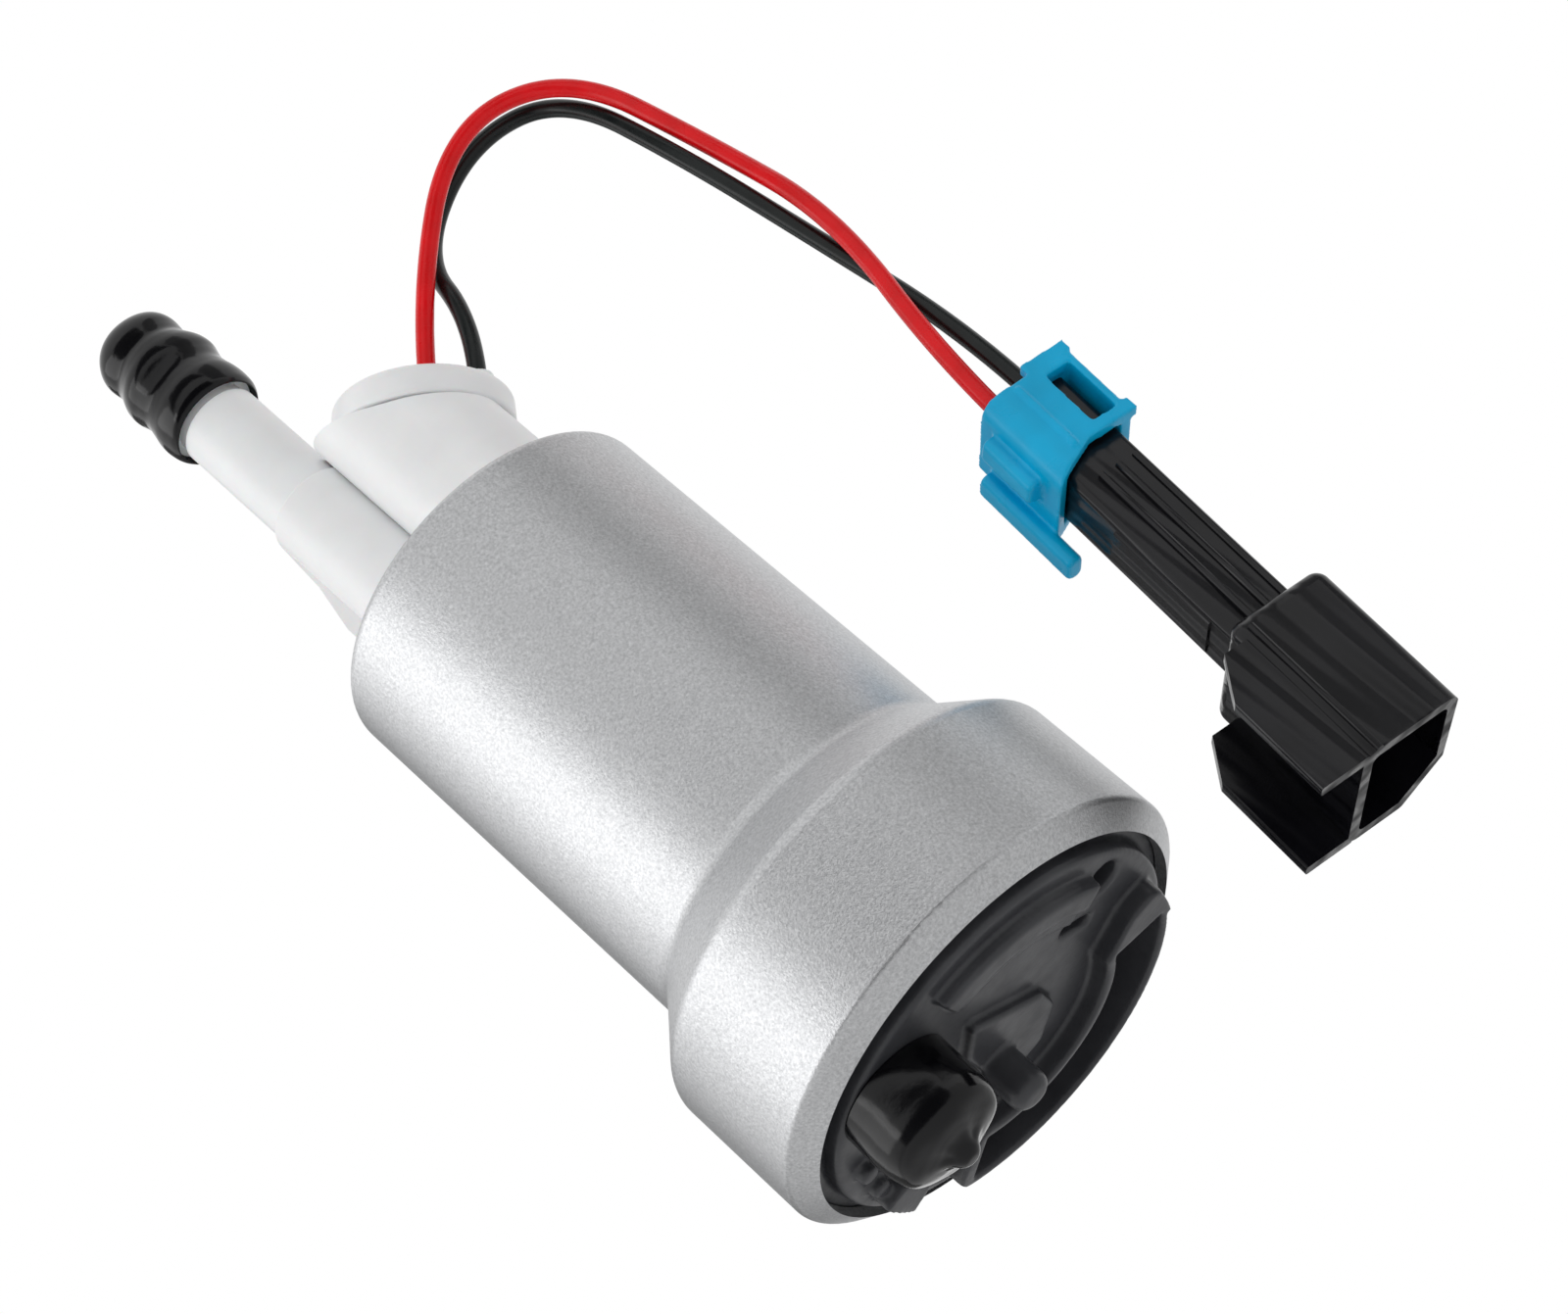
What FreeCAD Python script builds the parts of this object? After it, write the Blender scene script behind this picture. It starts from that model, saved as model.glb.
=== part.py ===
"""In-tank fuel pump with a two-wire lead, a FreeCAD macro in millimetres.

Levels are heights above the crimped lip of the can. The part's own origin is the middle of
the clamping band on the can, so every piece is placed lower by mount_level.
"""
import FreeCAD, Part
import math
import os
import re
import Sketcher

os.makedirs("parts", exist_ok=True)
Vector = FreeCAD.Vector
UP = Vector(0, 0, 1)
doc = FreeCAD.newDocument("fuel_pump")
sheet = doc.addObject("Spreadsheet::Sheet", "sizes")

SIZES = {
    "mount_level": 48,            # clamp band's middle above the lip
    "running_gap": 0.04,          # shaft in its bushes
    "seat_gap": 0.05,             # pieces that sit in or on one another
    "rest_gap": 0.02,             # a valve or brush on its seat
    "sliding_gap": 0.12,          # pieces that slide
    "edge_round": 0.45,           # eased edges of mouldings
    "wall": 1.2,                  # can, drawn from sheet
    "can_radius": 19.5,           # motor end
    "head_radius": 25,            # pump end
    "can_top": 72,
    "can_rim_round": 1.3,
    "can_opening": 17,
    "shoulder_low": 17.4,
    "shoulder_high": 24.1,
    "shoulder_round": 2,
    "flare_round": 2.5,
    "crease_level": 1.9,          # where the crimp starts to turn in
    "crease_round": 0.8,
    "lip_radius": 22.56,

    "cover_face": -0.7,           # inlet cover
    "cover_boss": 21,
    "cover_edge_round": 0.5,
    "cover_top": 7,
    "channel_inner": 13.4,        # ring channel on both sides of the impeller
    "channel_outer": 16.6,
    "channel_depth": 1.6,
    "inlet_x": -10.2,
    "inlet_y": -11.2,
    "inlet_radius": 5.5,
    "inlet_bore": 4.2,
    "inlet_tip": -6.6,
    "inlet_blend": 2.4,           # bore goes on into the channel with this radius
    "post_x": -2.5,
    "post_y": 1.1,
    "post_radius": 2.2,
    "post_round": 1.3,
    "post_tip": -7,
    "guard_level": -3,            # crescent guard
    "guard_outer": 19.7,
    "guard_inner": 11.6,
    "guard_start": 14,
    "guard_end": 137,
    "curl_root": 3.1,             # the guard's end that curls out to the rim
    "curl_x": 15.8,
    "curl_y": 0.3,
    "curl_far": 6.5,
    "curl_round": 1.5,
    "rim_round": 0.25,
    "pocket_outer": 18.8,
    "pocket_inner": 12.8,
    "pocket_start": 16,
    "pocket_end": 131,
    "pocket_depth": 4.4,
    "guard_round": 1.6,
    "tab_start": 157,
    "tab_end": 174,
    "tab_inner": 16.4,
    "stub_place": 18.3,
    "stub_one": 193,
    "stub_two": 178,
    "stub_radius": 1.1,
    "stub_high": 1.3,
    "rib_level": -1.5,            # raised arc over the channel
    "rib_top": -2.3,
    "rib_step": 15.2,
    "rib_inner": 13,
    "rib_outer": 18.4,
    "rib_start": 264,
    "rib_end": 330,
    "rib_round": 0.55,
    "vent_x": 16.4,
    "vent_y": -6.5,
    "vent_radius": 1.9,
    "slot_x": 11.6,               # blind slot beside the arc
    "slot_y": -3.8,
    "slot_turn": 43,
    "slot_length": 3.8,
    "slot_wide": 1.2,
    "slot_deep": 1.5,
    "landing_level": -1.8,        # landing that carries the post
    "landing_tip_x": 5.1,
    "landing_tip_y": -1.4,
    "landing_side_x": 5.3,
    "landing_side_y": 2.4,
    "landing_foot_x": 1.9,
    "landing_foot_y": 6.4,
    "landing_heel_x": -3.4,
    "landing_corner_x": -1.6,
    "landing_corner_y": -8.6,
    "landing_round": 0.8,
    "thrust_radius": 1.9,
    "thrust_thick": 1.2,
    "thrust_level": 3.2,

    "plate_top": 16.4,            # upper pump plate
    "plate_bevel": 1,
    "spigot_outer": 17.9,
    "spigot_inner": 15.9,
    "spigot_top": 26,
    "spigot_window": 9,
    "window_margin": 2,
    "window_round": 1.5,
    "window_count": 6,
    "port_radius": 2.2,
    "port_turn": 200,
    "bush_outer": 3.4,
    "lower_bush_low": 11.6,
    "seal_inner": 21,
    "seal_outer": 23.1,
    "seal_thick": 1.1,
    "seal_round": 0.4,
    "impeller_radius": 17.3,
    "impeller_thick": 3.4,
    "impeller_gap": 0.06,
    "vane_count": 24,
    "vane_depth": 2.6,
    "vane_wide": 1.7,
    "vane_rim": 0.6,
    "vane_round": 0.5,
    "shaft_radius": 1.6,
    "shaft_low": 4.5,
    "shaft_high": 70.5,
    "shaft_bevel": 0.3,

    "ring_inner": 16.4,           # motor
    "ring_outer": 18.15,
    "ring_top": 59.6,
    "magnet_inner": 13.7,
    "magnet_low": 27.5,
    "magnet_high": 57,
    "magnet_half_angle": 68,
    "magnet_round": 0.8,
    "clip_half_angle": 18,
    "clip_sheet": 0.6,
    "clip_margin": 1,
    "clip_flange": 3,
    "core_radius": 13,
    "core_low": 31,
    "core_high": 51,
    "slot_count": 8,
    "core_slot_inner": 5.2,
    "core_slot_outer": 11.6,
    "core_slot_wide": 3.4,
    "core_slot_round": 0.6,
    "core_mouth_wide": 1.2,
    "coil_gap": 0.1,
    "coil_low": 28,
    "coil_high": 54,
    "coil_outer": 11.8,
    "coil_inner": 4.8,
    "coil_round": 1.4,
    "commutator_radius": 10.8,
    "commutator_low": 55.2,
    "commutator_high": 59.2,
    "bar_gap": 0.6,
    "bar_depth": 2.4,
    "commutator_bevel": 1,
    "commutator_hub": 2,
    "brush_place": 7.6,
    "brush_wide": 4.4,
    "brush_long": 5.4,
    "brush_high": 66,
    "brush_round": 0.3,
    "brush_turns": 5,
    "spring_wire": 0.25,

    "cap_low": 60.6,              # outlet cap
    "cap_skirt": 17,
    "cap_flange": 18.15,
    "cap_flange_top": 70.75,
    "cap_body": 16.7,
    "cap_deck": 73.2,
    "cap_deck_round": 0.6,
    "brush_room_top": 71.8,
    "upper_bush_low": 62.2,
    "upper_bush_high": 69,
    "tube_x": -6.4,
    "tube_radius": 4.65,
    "tube_bore": 3.3,
    "tube_top": 126.4,
    "tube_tip_round": 0.6,
    "tube_base_radius": 5.25,
    "tube_base_top": 95.2,
    "web_x": -13.3,               # web on the outer side of the tube's base
    "web_low": 81.5,
    "web_middle": 87.5,
    "web_thick": 1.8,
    "passage_radius": 2.2,
    "barb_radius": 5.15,
    "barb_neck_radius": 4.25,
    "barb_drop": 1.2,             # step under each barb's widest level
    "barb_rise": 2.6,
    "barb_one": 114,
    "barb_two": 119.8,
    "valve_seat_level": 80,
    "valve_radius": 2.8,
    "valve_stem": 1.1,
    "valve_lift": 2.6,
    "valve_margin": 2,
    "valve_head": 1.6,
    "valve_shoulder": 2.4,
    "valve_turns": 5,
    "valve_stop_low": 94,
    "valve_stop_high": 96,
    "relief_x": -5.6,
    "relief_y": 12,
    "relief_radius": 2.2,
    "relief_seat_level": 63.6,
    "relief_hole": 1,
    "ball_radius": 1.6,
    "ball_low": 0.8,
    "ball_high": 1.6,
    "ball_pin": 0.7,
    "ball_pin_top": 3.4,
    "relief_turns": 4,
    "relief_stop_hole": 0.8,
    "relief_stop_low": 70.2,
    "choke_x": 9.6,
    "choke_y": 8.4,
    "choke_room": 2.5,
    "choke_low": 61.4,
    "choke_high": 71,
    "choke_core": 1.1,
    "choke_radius": 2.3,
    "choke_stub": 1,

    "socket_middle": 6.2,
    "socket_half_x": 8,
    "socket_half_y": 9.2,
    "socket_round": 6.6,
    "socket_tilt": 38,            # the plug leans out over the can's rim
    "seat_x": 6.94,
    "seat_level": 90.65,
    "catch_x": -4.6,              # catch beside the plug
    "catch_deep": 5,
    "catch_low": 90,
    "catch_high": 95.6,
    "catch_bevel": 1.2,
    "catch_wide": 4.4,
    "room_half_x": 3.7,
    "room_half_y": 5.2,
    "room_depth": 6.2,
    "room_clear": 2,

    "plug_radius": 9.6,           # plug on the lead
    "head_low": 0.3,
    "head_high": 4,
    "head_round": 1.4,
    "nose_length": 5.8,
    "contact_place": 2.05,
    "contact_wide": 1.9,
    "contact_long": 3.4,
    "contact_sheet": 0.4,
    "contact_high": 4.6,
    "contact_margin": 0.3,
    "blade_thick": 0.8,
    "blade_wide": 2.2,
    "blade_rise": 4.4,
    "sleeve_radius": 1.7,
    "sleeve_high": 1.3,
    "sleeve_red": 0.8,            # places on the head, along its slope
    "sleeve_black": 6.4,

    "wire_radius": 1,             # wires
    "wire_step": 2.1,
    "wire_clear": 0.8,
    "red_out": 10.3,              # straight runs out of the sleeves and into the stem
    "red_in": 11,
    "black_out": 6.5,
    "black_in": 11.3,
    "connector_x": 43.3,          # connector, in its own leaning frame
    "connector_lean": 5.5,
    "connector_turn": 203,
    "stem_half_x": 4,
    "stem_half_y": 3.2,
    "stem_high": 39.5,
    "stem_sunk": 1.6,
    "stem_round": 0.7,
    "stem_rib_wide": 0.8,
    "stem_rib_high": 0.4,
    "stem_rib_step": 2.1,
    "stem_rib_end": 27.8,
    "panel_low": 8.8,             # flat panel on the stem's latch side
    "panel_high": 22.3,
    "panel_sheet": 0.25,
    "shroud_half_x": 5.8,
    "shroud_half_y": 7.3,
    "shroud_low": -13.3,
    "shroud_high": 5.4,
    "shroud_wall": 1.2,
    "shroud_round": 1.4,
    "shroud_chamfer": 4.8,
    "shroud_floor": 3.6,
    "shroud_back_round": 1.5,
    "shroud_rib": 0.35,
    "wing_length": 5.2,
    "wing_knee": -1.8,
    "wing_high": 3,
    "wing_root": 2.2,
    "terminal_wide": 1.5,
    "terminal_thick": 0.8,
    "terminal_length": 8,
    "lock_low": 28.6,
    "lock_high": 40.6,
    "lock_sheet": 1.4,
    "lock_round": 2.4,
    "lock_slope": 2.4,
    "lock_frame_rise": 1.3,
    "lock_bar": 1.2,
    "lock_flare": 1.6,
    "lock_ridge_x": 1.6,
    "lock_window_x": -3.1,
    "lock_window_low": 32.4,
    "lock_window_high": 39.4,
    "lock_window_wide": 3,
    "lock_arm_thick": 1.9,
    "lock_arm_high": 38.4,
    "arm_front_low": 31.2,
    "arm_back_low": 24.9,
    "arm_half": 1.5,
    "arm_round": 0.8,
    "arm_front_y": 1,
    "arm_back_y": -4.6,

    "cap_sheet": 0.7,             # vinyl dust caps
    "cap_clear": 0.15,
    "outlet_cap_low": 111.5,
    "outlet_cap_top": 128.4,
    "outlet_cap_neck": 122.6,
    "outlet_cap_dome": 5,
    "outlet_cap_bulge": 5.95,
    "outlet_cap_valley": 5.62,
    "bulge_round": 1.6,
    "valley_round": 1.2,
    "inlet_cap_side": 6.9,
    "inlet_cap_dome": 1.4,
    "inlet_cap_tip": 11,
    "inlet_cap_round": 1.6,
    "nib_root": 2.3,
    "nib_tip": 1.1,
}

for row, (name, size) in enumerate(SIZES.items(), start=1):
    sheet.set(f"A{row}", name)
    sheet.set(f"B{row}", str(size))
    sheet.setAlias(f"B{row}", name)
doc.recompute()


def bind(text):
    """Turn plain size names into references to the sheet."""
    return re.sub(r"[a-z_]+", lambda found: f"sizes.{found[0]}" if found[0] in SIZES else found[0], text)


def number(text):
    """Work out an expression of size names."""
    result = sheet.evalExpression(bind(text))
    return float(getattr(result, "Value", result))


def place(piece, x="0", y="0", level="0", axis=UP, turn="0"):
    """Put a piece at its own place in the part's frame."""
    piece.Placement = FreeCAD.Placement(Vector(0, 0, 0), FreeCAD.Rotation(axis, number(turn)))
    piece.setExpression("Placement.Rotation.Angle", bind(turn))
    piece.setExpression("Placement.Base.x", bind(x))
    piece.setExpression("Placement.Base.y", bind(y))
    piece.setExpression("Placement.Base.z", bind(f"({level}) - mount_level"))


def new_body(label, *spot, **turned_by):
    """Start a body whose label names its file."""
    body = doc.addObject("PartDesign::Body", label)
    body.Label = label
    place(body, *spot, **turned_by)
    return body


def origin_piece(body, role):
    return [piece for piece in body.Origin.OriginFeatures if piece.Role == role][0]


def sketch_on(body, name, plane="XY_Plane", level="0"):
    """Attach a sketch to one of the body's own planes."""
    sketch = body.newObject("Sketcher::SketchObject", f"{body.Label}_{name}")
    sketch.AttachmentSupport = [(origin_piece(body, plane), "")]
    sketch.MapMode = "FlatFace"
    sketch.setExpression("AttachmentOffset.Base.z", bind(level))
    return sketch


def hold(sketch, geometry, position, x, y):
    """Tie a point of the sketch to two expressions."""
    for kind, axis, text in (("DistanceX", -2, x), ("DistanceY", -1, y)):
        if text == "0":
            sketch.addConstraint(Sketcher.Constraint("PointOnObject", geometry, position, axis))
        else:
            made = sketch.addConstraint(
                Sketcher.Constraint(kind, -1, 1, geometry, position, number(text)))
            sketch.setExpression(f"Constraints[{made}]", bind(text))


def radius_of(sketch, geometry, text):
    made = sketch.addConstraint(Sketcher.Constraint("Radius", geometry, number(text)))
    sketch.setExpression(f"Constraints[{made}]", bind(text))


def outline(sketch, corners):
    """Close straight lines through the corners; a third value rounds its corner with an arc."""
    spots = [Vector(number(corner[0]), number(corner[1]), 0) for corner in corners]
    count = len(corners)
    ends = []
    arcs = []
    for index, corner in enumerate(corners):
        here = spots[index]
        if len(corner) < 3:
            ends.append((here, here))
            arcs.append(None)
            continue
        radius = number(corner[2])
        back = (spots[index - 1] - here).normalize()
        ahead = (spots[(index + 1) % count] - here).normalize()
        half = back.getAngle(ahead) / 2
        reach = radius / math.tan(half)
        middle = here + (back + ahead).normalize() * (radius / math.sin(half))
        start, end = here + back * reach, here + ahead * reach
        left_turn = (back * -1).cross(ahead).z > 0
        first, last = (start, end) if left_turn else (end, start)
        angles = [math.atan2(spot.y - middle.y, spot.x - middle.x) for spot in (first, last)]
        ends.append((start, end))
        arcs.append((Part.ArcOfCircle(Part.Circle(middle, UP, radius), *angles), left_turn))
    base = sketch.GeometryCount
    for index in range(count):
        sketch.addGeometry(Part.LineSegment(ends[index][1], ends[(index + 1) % count][0]), False)
    for index, corner in enumerate(corners):
        before, after = base + (index - 1) % count, base + index
        if arcs[index] is None:
            sketch.addConstraint(Sketcher.Constraint("Coincident", before, 2, after, 1))
            hold(sketch, after, 1, corner[0], corner[1])
            continue
        arc = sketch.addGeometry(arcs[index][0], False)
        point = sketch.addGeometry(Part.Point(spots[index]), True)
        start, end = (1, 2) if arcs[index][1] else (2, 1)
        sketch.addConstraint([Sketcher.Constraint("Tangent", before, 2, arc, start),
                              Sketcher.Constraint("Tangent", arc, end, after, 1),
                              Sketcher.Constraint("PointOnObject", point, 1, before),
                              Sketcher.Constraint("PointOnObject", point, 1, after)])
        hold(sketch, point, 1, corner[0], corner[1])
        radius_of(sketch, arc, corner[2])


def box_outline(sketch, half_x, half_y, x="0", y="0", rounding=None):
    """A rectangle about a middle point, with all corners rounded alike."""
    signs = ((-1, -1), (1, -1), (1, 1), (-1, 1))
    corners = [(f"{x} + {i} * ({half_x})", f"{y} + {j} * ({half_y})") for i, j in signs]
    outline(sketch, [corner + (rounding,) for corner in corners] if rounding else corners)


def circle(sketch, radius, x="0", y="0"):
    spot = Vector(number(x), number(y), 0)
    made = sketch.addGeometry(Part.Circle(spot, UP, number(radius)), False)
    hold(sketch, made, 3, x, y)
    radius_of(sketch, made, radius)


def sector(sketch, inner, outer, start, end):
    """A ring's stretch between two angles, about the sketch's origin."""
    low, high = math.radians(number(start)), math.radians(number(end))
    rim = [Part.ArcOfCircle(Part.Circle(Vector(), UP, number(size)), low, high) for size in (inner, outer)]
    inside = sketch.addGeometry(rim[0], False)
    outside = sketch.addGeometry(rim[1], False)
    for position, angle, text in ((1, low, start), (2, high, end)):
        ray = Vector(math.cos(angle), math.sin(angle), 0)
        line = sketch.addGeometry(Part.LineSegment(ray * number(inner), ray * number(outer)), False)
        sketch.addConstraint([Sketcher.Constraint("Coincident", line, 1, inside, position),
                              Sketcher.Constraint("Coincident", line, 2, outside, position),
                              Sketcher.Constraint("PointOnObject", -1, 1, line)])
        made = sketch.addConstraint(Sketcher.Constraint("Angle", line, angle))
        sketch.setExpression(f"Constraints[{made}]", bind(f"({text}) * 1 deg"))
    for arc, text in ((inside, inner), (outside, outer)):
        sketch.addConstraint(Sketcher.Constraint("Coincident", arc, 3, -1, 1))
        radius_of(sketch, arc, text)


def volume(body):
    doc.recompute()
    return body.Shape.Volume


def add_feature(body, kind, sketch, adds, **settings):
    """Add a feature and make sure that it adds or takes away material."""
    before = volume(body) if body.Tip and not body.Tip.isDerivedFrom("Sketcher::SketchObject") else 0
    feature = body.newObject(f"PartDesign::{kind}", f"{sketch.Name}_{kind.lower()}")
    feature.Profile = sketch
    for key, setting in settings.items():
        if key in ("Length", "Angle"):
            feature.setExpression(key, bind(setting))
        else:
            setattr(feature, key, setting)
    sketch.Visibility = False
    after = volume(body)
    if (after - before) * (1 if adds else -1) <= 1e-6:
        raise ValueError(f"{feature.Name} changes nothing: {before:.4f} to {after:.4f}")
    return feature


def pad(body, sketch, length, down=False, both=False):
    return add_feature(body, "Pad", sketch, True, Length=length, Reversed=down, Midplane=both)


def pocket(body, sketch, depth, up=False, both=False):
    return add_feature(body, "Pocket", sketch, False, Length=depth, Reversed=up, Midplane=both)


def revolve(body, sketch, along=None):
    """Turn a profile about the body's axis, or about an upright line at a given x."""
    axis = "V_Axis"
    if along:
        line = Part.LineSegment(Vector(number(along), 0, 0), Vector(number(along), 1, 0))
        made = sketch.addGeometry(line, True)
        hold(sketch, made, 1, along, "0")
        hold(sketch, made, 2, along, "1")
        axis = "Axis0"
    return add_feature(body, "Revolution", sketch, True, ReferenceAxis=(sketch, [axis]), Angle="360 deg")


def around(body, feature, count):
    """Repeat a feature evenly about the body's own axis."""
    pattern = body.newObject("PartDesign::PolarPattern", f"{feature.Name}_around")
    pattern.Originals = [feature]
    pattern.Axis = (origin_piece(body, "Z_Axis"), [""])
    pattern.Angle = 360
    pattern.setExpression("Occurrences", bind(count))
    body.Tip = pattern
    doc.recompute()
    return pattern


def soften(body, radius, picks, kind="Fillet"):
    """Round or bevel the edges that the test picks."""
    doc.recompute()
    tip = body.Tip
    names = [f"Edge{index}" for index, edge in enumerate(tip.Shape.Edges, start=1) if picks(edge)]
    if not names:
        raise ValueError(f"no edge to soften on {tip.Name}")
    feature = body.newObject(f"PartDesign::{kind}", f"{tip.Name}_{kind.lower()}")
    feature.Base = (tip, names)
    feature.setExpression("Radius" if kind == "Fillet" else "Size", bind(radius))
    tip.Visibility = False
    if volume(body) == 0 or "Invalid" in feature.State:
        raise ValueError(f"{feature.Name} fails")
    return feature


def upright(edge):
    """True for a straight edge along Z."""
    ends = [vertex.Point for vertex in edge.Vertexes]
    return len(ends) == 2 and (ends[1] - ends[0]).cross(UP).Length < 1e-6


def flat_at(level):
    """A test for edges that lie wholly at one level."""
    height, near = number(level), number("rest_gap")
    return lambda edge: abs(edge.BoundBox.ZMin - height) < near and abs(edge.BoundBox.ZMax - height) < near


def turned(label, corners, *spot, **turned_by):
    """A body turned about Z from a profile of radius and level."""
    body = new_body(label, *spot, **turned_by)
    profile = sketch_on(body, "profile", "XZ_Plane")
    outline(profile, corners)
    revolve(body, profile)
    return body


def sleeve_corners(inner, outer, low, high):
    return [(inner, low), (outer, low), (outer, high), (inner, high)]


SHELL_SLIP = "tan(atan((head_radius - can_radius) / (shoulder_high - shoulder_low)) / 2)"
LIP_SLOPE = "(crease_level / (head_radius - lip_radius))"
LIP_INSIDE = f"(wall * sqrt(1 + {LIP_SLOPE}^2))"
HEAD_FIT = "(head_radius - wall - seat_gap)"


def make_can():
    """Drawn can: motor end, flared shoulder, pump end and the lip crimped over the cover."""
    turned("can_shell", [
        ("lip_radius", "0"),
        ("head_radius", "crease_level", "crease_round"),
        ("head_radius", "shoulder_low", "shoulder_round"),
        ("can_radius", "shoulder_high", "flare_round"),
        ("can_radius", "can_top", "can_rim_round"),
        ("can_opening", "can_top"),
        ("can_opening", "can_top - wall"),
        ("can_radius - wall", "can_top - wall"),
        ("can_radius - wall", f"shoulder_high - wall * {SHELL_SLIP}", "flare_round + wall"),
        ("head_radius - wall", f"shoulder_low - wall * {SHELL_SLIP}", "shoulder_round - wall"),
        ("head_radius - wall", f"{LIP_INSIDE} + (head_radius - wall - lip_radius) * {LIP_SLOPE}"),
        ("lip_radius", LIP_INSIDE)])


def below_face(edge):
    """True for an upright edge of what stands out of the cover's face."""
    return upright(edge) and edge.BoundBox.ZMin < number("guard_level") + number("edge_round")


def add_guard(body):
    """Crescent guard with an open well in it; one end curls out to the rim, the other is blunt."""
    guard = sketch_on(body, "guard", level="cover_face")
    sector(guard, "guard_inner", "guard_outer", "guard_start", "guard_end")
    pad(body, guard, "cover_face - guard_level", down=True)
    curl = sketch_on(body, "curl", level="cover_face")
    outline(curl, [("guard_inner * cos(pocket_start)", "guard_inner * sin(pocket_start)"),
                   ("guard_inner - edge_round", "curl_root", "curl_round"),
                   ("curl_x", "curl_y", "curl_round"), ("guard_outer", "curl_y", "curl_round"),
                   ("guard_outer - edge_round", "curl_far")])
    pad(body, curl, "cover_face - guard_level", down=True)
    soften(body, "guard_round", lambda edge: below_face(edge) and edge.BoundBox.XMax < 0)
    well = sketch_on(body, "well", level="guard_level")
    sector(well, "pocket_inner", "pocket_outer", "pocket_start", "pocket_end")
    pocket(body, well, "pocket_depth", up=True)
    soften(body, "rim_round", flat_at("guard_level"))


def add_arc(body):
    """Raised arc over the ring channel, in two steps."""
    for name, inner, level in (("low_step", "rib_inner", "rib_level"), ("high_step", "rib_step", "rib_top")):
        rib = sketch_on(body, name, level="cover_face")
        sector(rib, inner, "rib_outer", "rib_start", "rib_end")
        pad(body, rib, f"cover_face - {level}", down=True)
    soften(body, "rib_round", flat_at("rib_top"))


def add_landing(body):
    """Low landing with the locating post on it."""
    landing = sketch_on(body, "landing", level="cover_face")
    outline(landing, [("landing_tip_x", "landing_tip_y"),
                      ("landing_side_x", "landing_side_y", "landing_round"),
                      ("landing_foot_x", "landing_foot_y", "landing_round"),
                      ("landing_heel_x", "landing_foot_y", "landing_round"),
                      ("landing_heel_x - landing_round", "landing_corner_y / 2"),
                      ("landing_corner_x", "landing_corner_y", "edge_round")])
    pad(body, landing, "cover_face - landing_level", down=True)
    post = sketch_on(body, "post", level="landing_level")
    circle(post, "post_radius", "post_x", "post_y")
    pad(body, post, "landing_level - post_tip", down=True)
    soften(body, "post_round", flat_at("post_tip"))


def add_stubs(body):
    """Blunt tab and two round stubs that key the strainer."""
    tab = sketch_on(body, "tab", level="cover_face")
    sector(tab, "tab_inner", "guard_outer", "tab_start", "tab_end")
    pad(body, tab, "cover_face - guard_level", down=True)
    stubs = sketch_on(body, "stubs", level="cover_face")
    for turn in ("stub_one", "stub_two"):
        circle(stubs, "stub_radius", f"stub_place * cos({turn})", f"stub_place * sin({turn})")
    pad(body, stubs, "stub_high", down=True)
    soften(body, "edge_round", flat_at("cover_face - stub_high"))


def add_inlet(body):
    """Inlet spigot with its bore, the way into the channel, the vent and the blind slot."""
    spigot = sketch_on(body, "spigot", level="cover_face")
    circle(spigot, "inlet_radius", "inlet_x", "inlet_y")
    pad(body, spigot, "cover_face - inlet_tip", down=True)
    bore = sketch_on(body, "bore", level="inlet_tip")
    circle(bore, "inlet_bore", "inlet_x", "inlet_y")
    pocket(body, bore, "thrust_level - inlet_tip", up=True)
    way = sketch_on(body, "way", level="thrust_level")
    circle(way, "inlet_blend", "inlet_x", "inlet_y")
    pocket(body, way, "cover_top - thrust_level", up=True)
    vent = sketch_on(body, "vent", level="cover_top")
    circle(vent, "vent_radius", "vent_x", "vent_y")
    pocket(body, vent, "cover_top - rib_top")
    slot = sketch_on(body, "slot", level="cover_face")
    along, across = ("cos(slot_turn)", "sin(slot_turn)"), ("-sin(slot_turn)", "cos(slot_turn)")
    outline(slot, [(f"slot_x + {i} * slot_length / 2 * {along[0]} + {j} * slot_wide / 2 * {across[0]}",
                    f"slot_y + {i} * slot_length / 2 * {along[1]} + {j} * slot_wide / 2 * {across[1]}",
                    "slot_wide / 3") for i, j in ((-1, -1), (1, -1), (1, 1), (-1, 1))])
    pocket(body, slot, "slot_deep", up=True)


def make_inlet_cover():
    """Moulded cover under the impeller: boss, spigot, post, crescent guard and channel."""
    body = turned("inlet_cover", [
        ("0", "cover_face"),
        ("cover_boss", "cover_face", "cover_edge_round"),
        ("cover_boss", f"{LIP_INSIDE} + seat_gap"),
        ("lip_radius", f"{LIP_INSIDE} + seat_gap"),
        (HEAD_FIT, f"{LIP_INSIDE} + seat_gap + ({HEAD_FIT} - lip_radius) * {LIP_SLOPE}"),
        (HEAD_FIT, "cover_top"),
        ("channel_outer", "cover_top"),
        ("channel_outer", "cover_top - channel_depth"),
        ("channel_inner", "cover_top - channel_depth"),
        ("channel_inner", "cover_top"),
        ("thrust_radius + seat_gap", "cover_top"),
        ("thrust_radius + seat_gap", "thrust_level"),
        ("0", "thrust_level")])
    add_guard(body)
    add_stubs(body)
    add_arc(body)
    add_landing(body)
    add_inlet(body)


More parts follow.
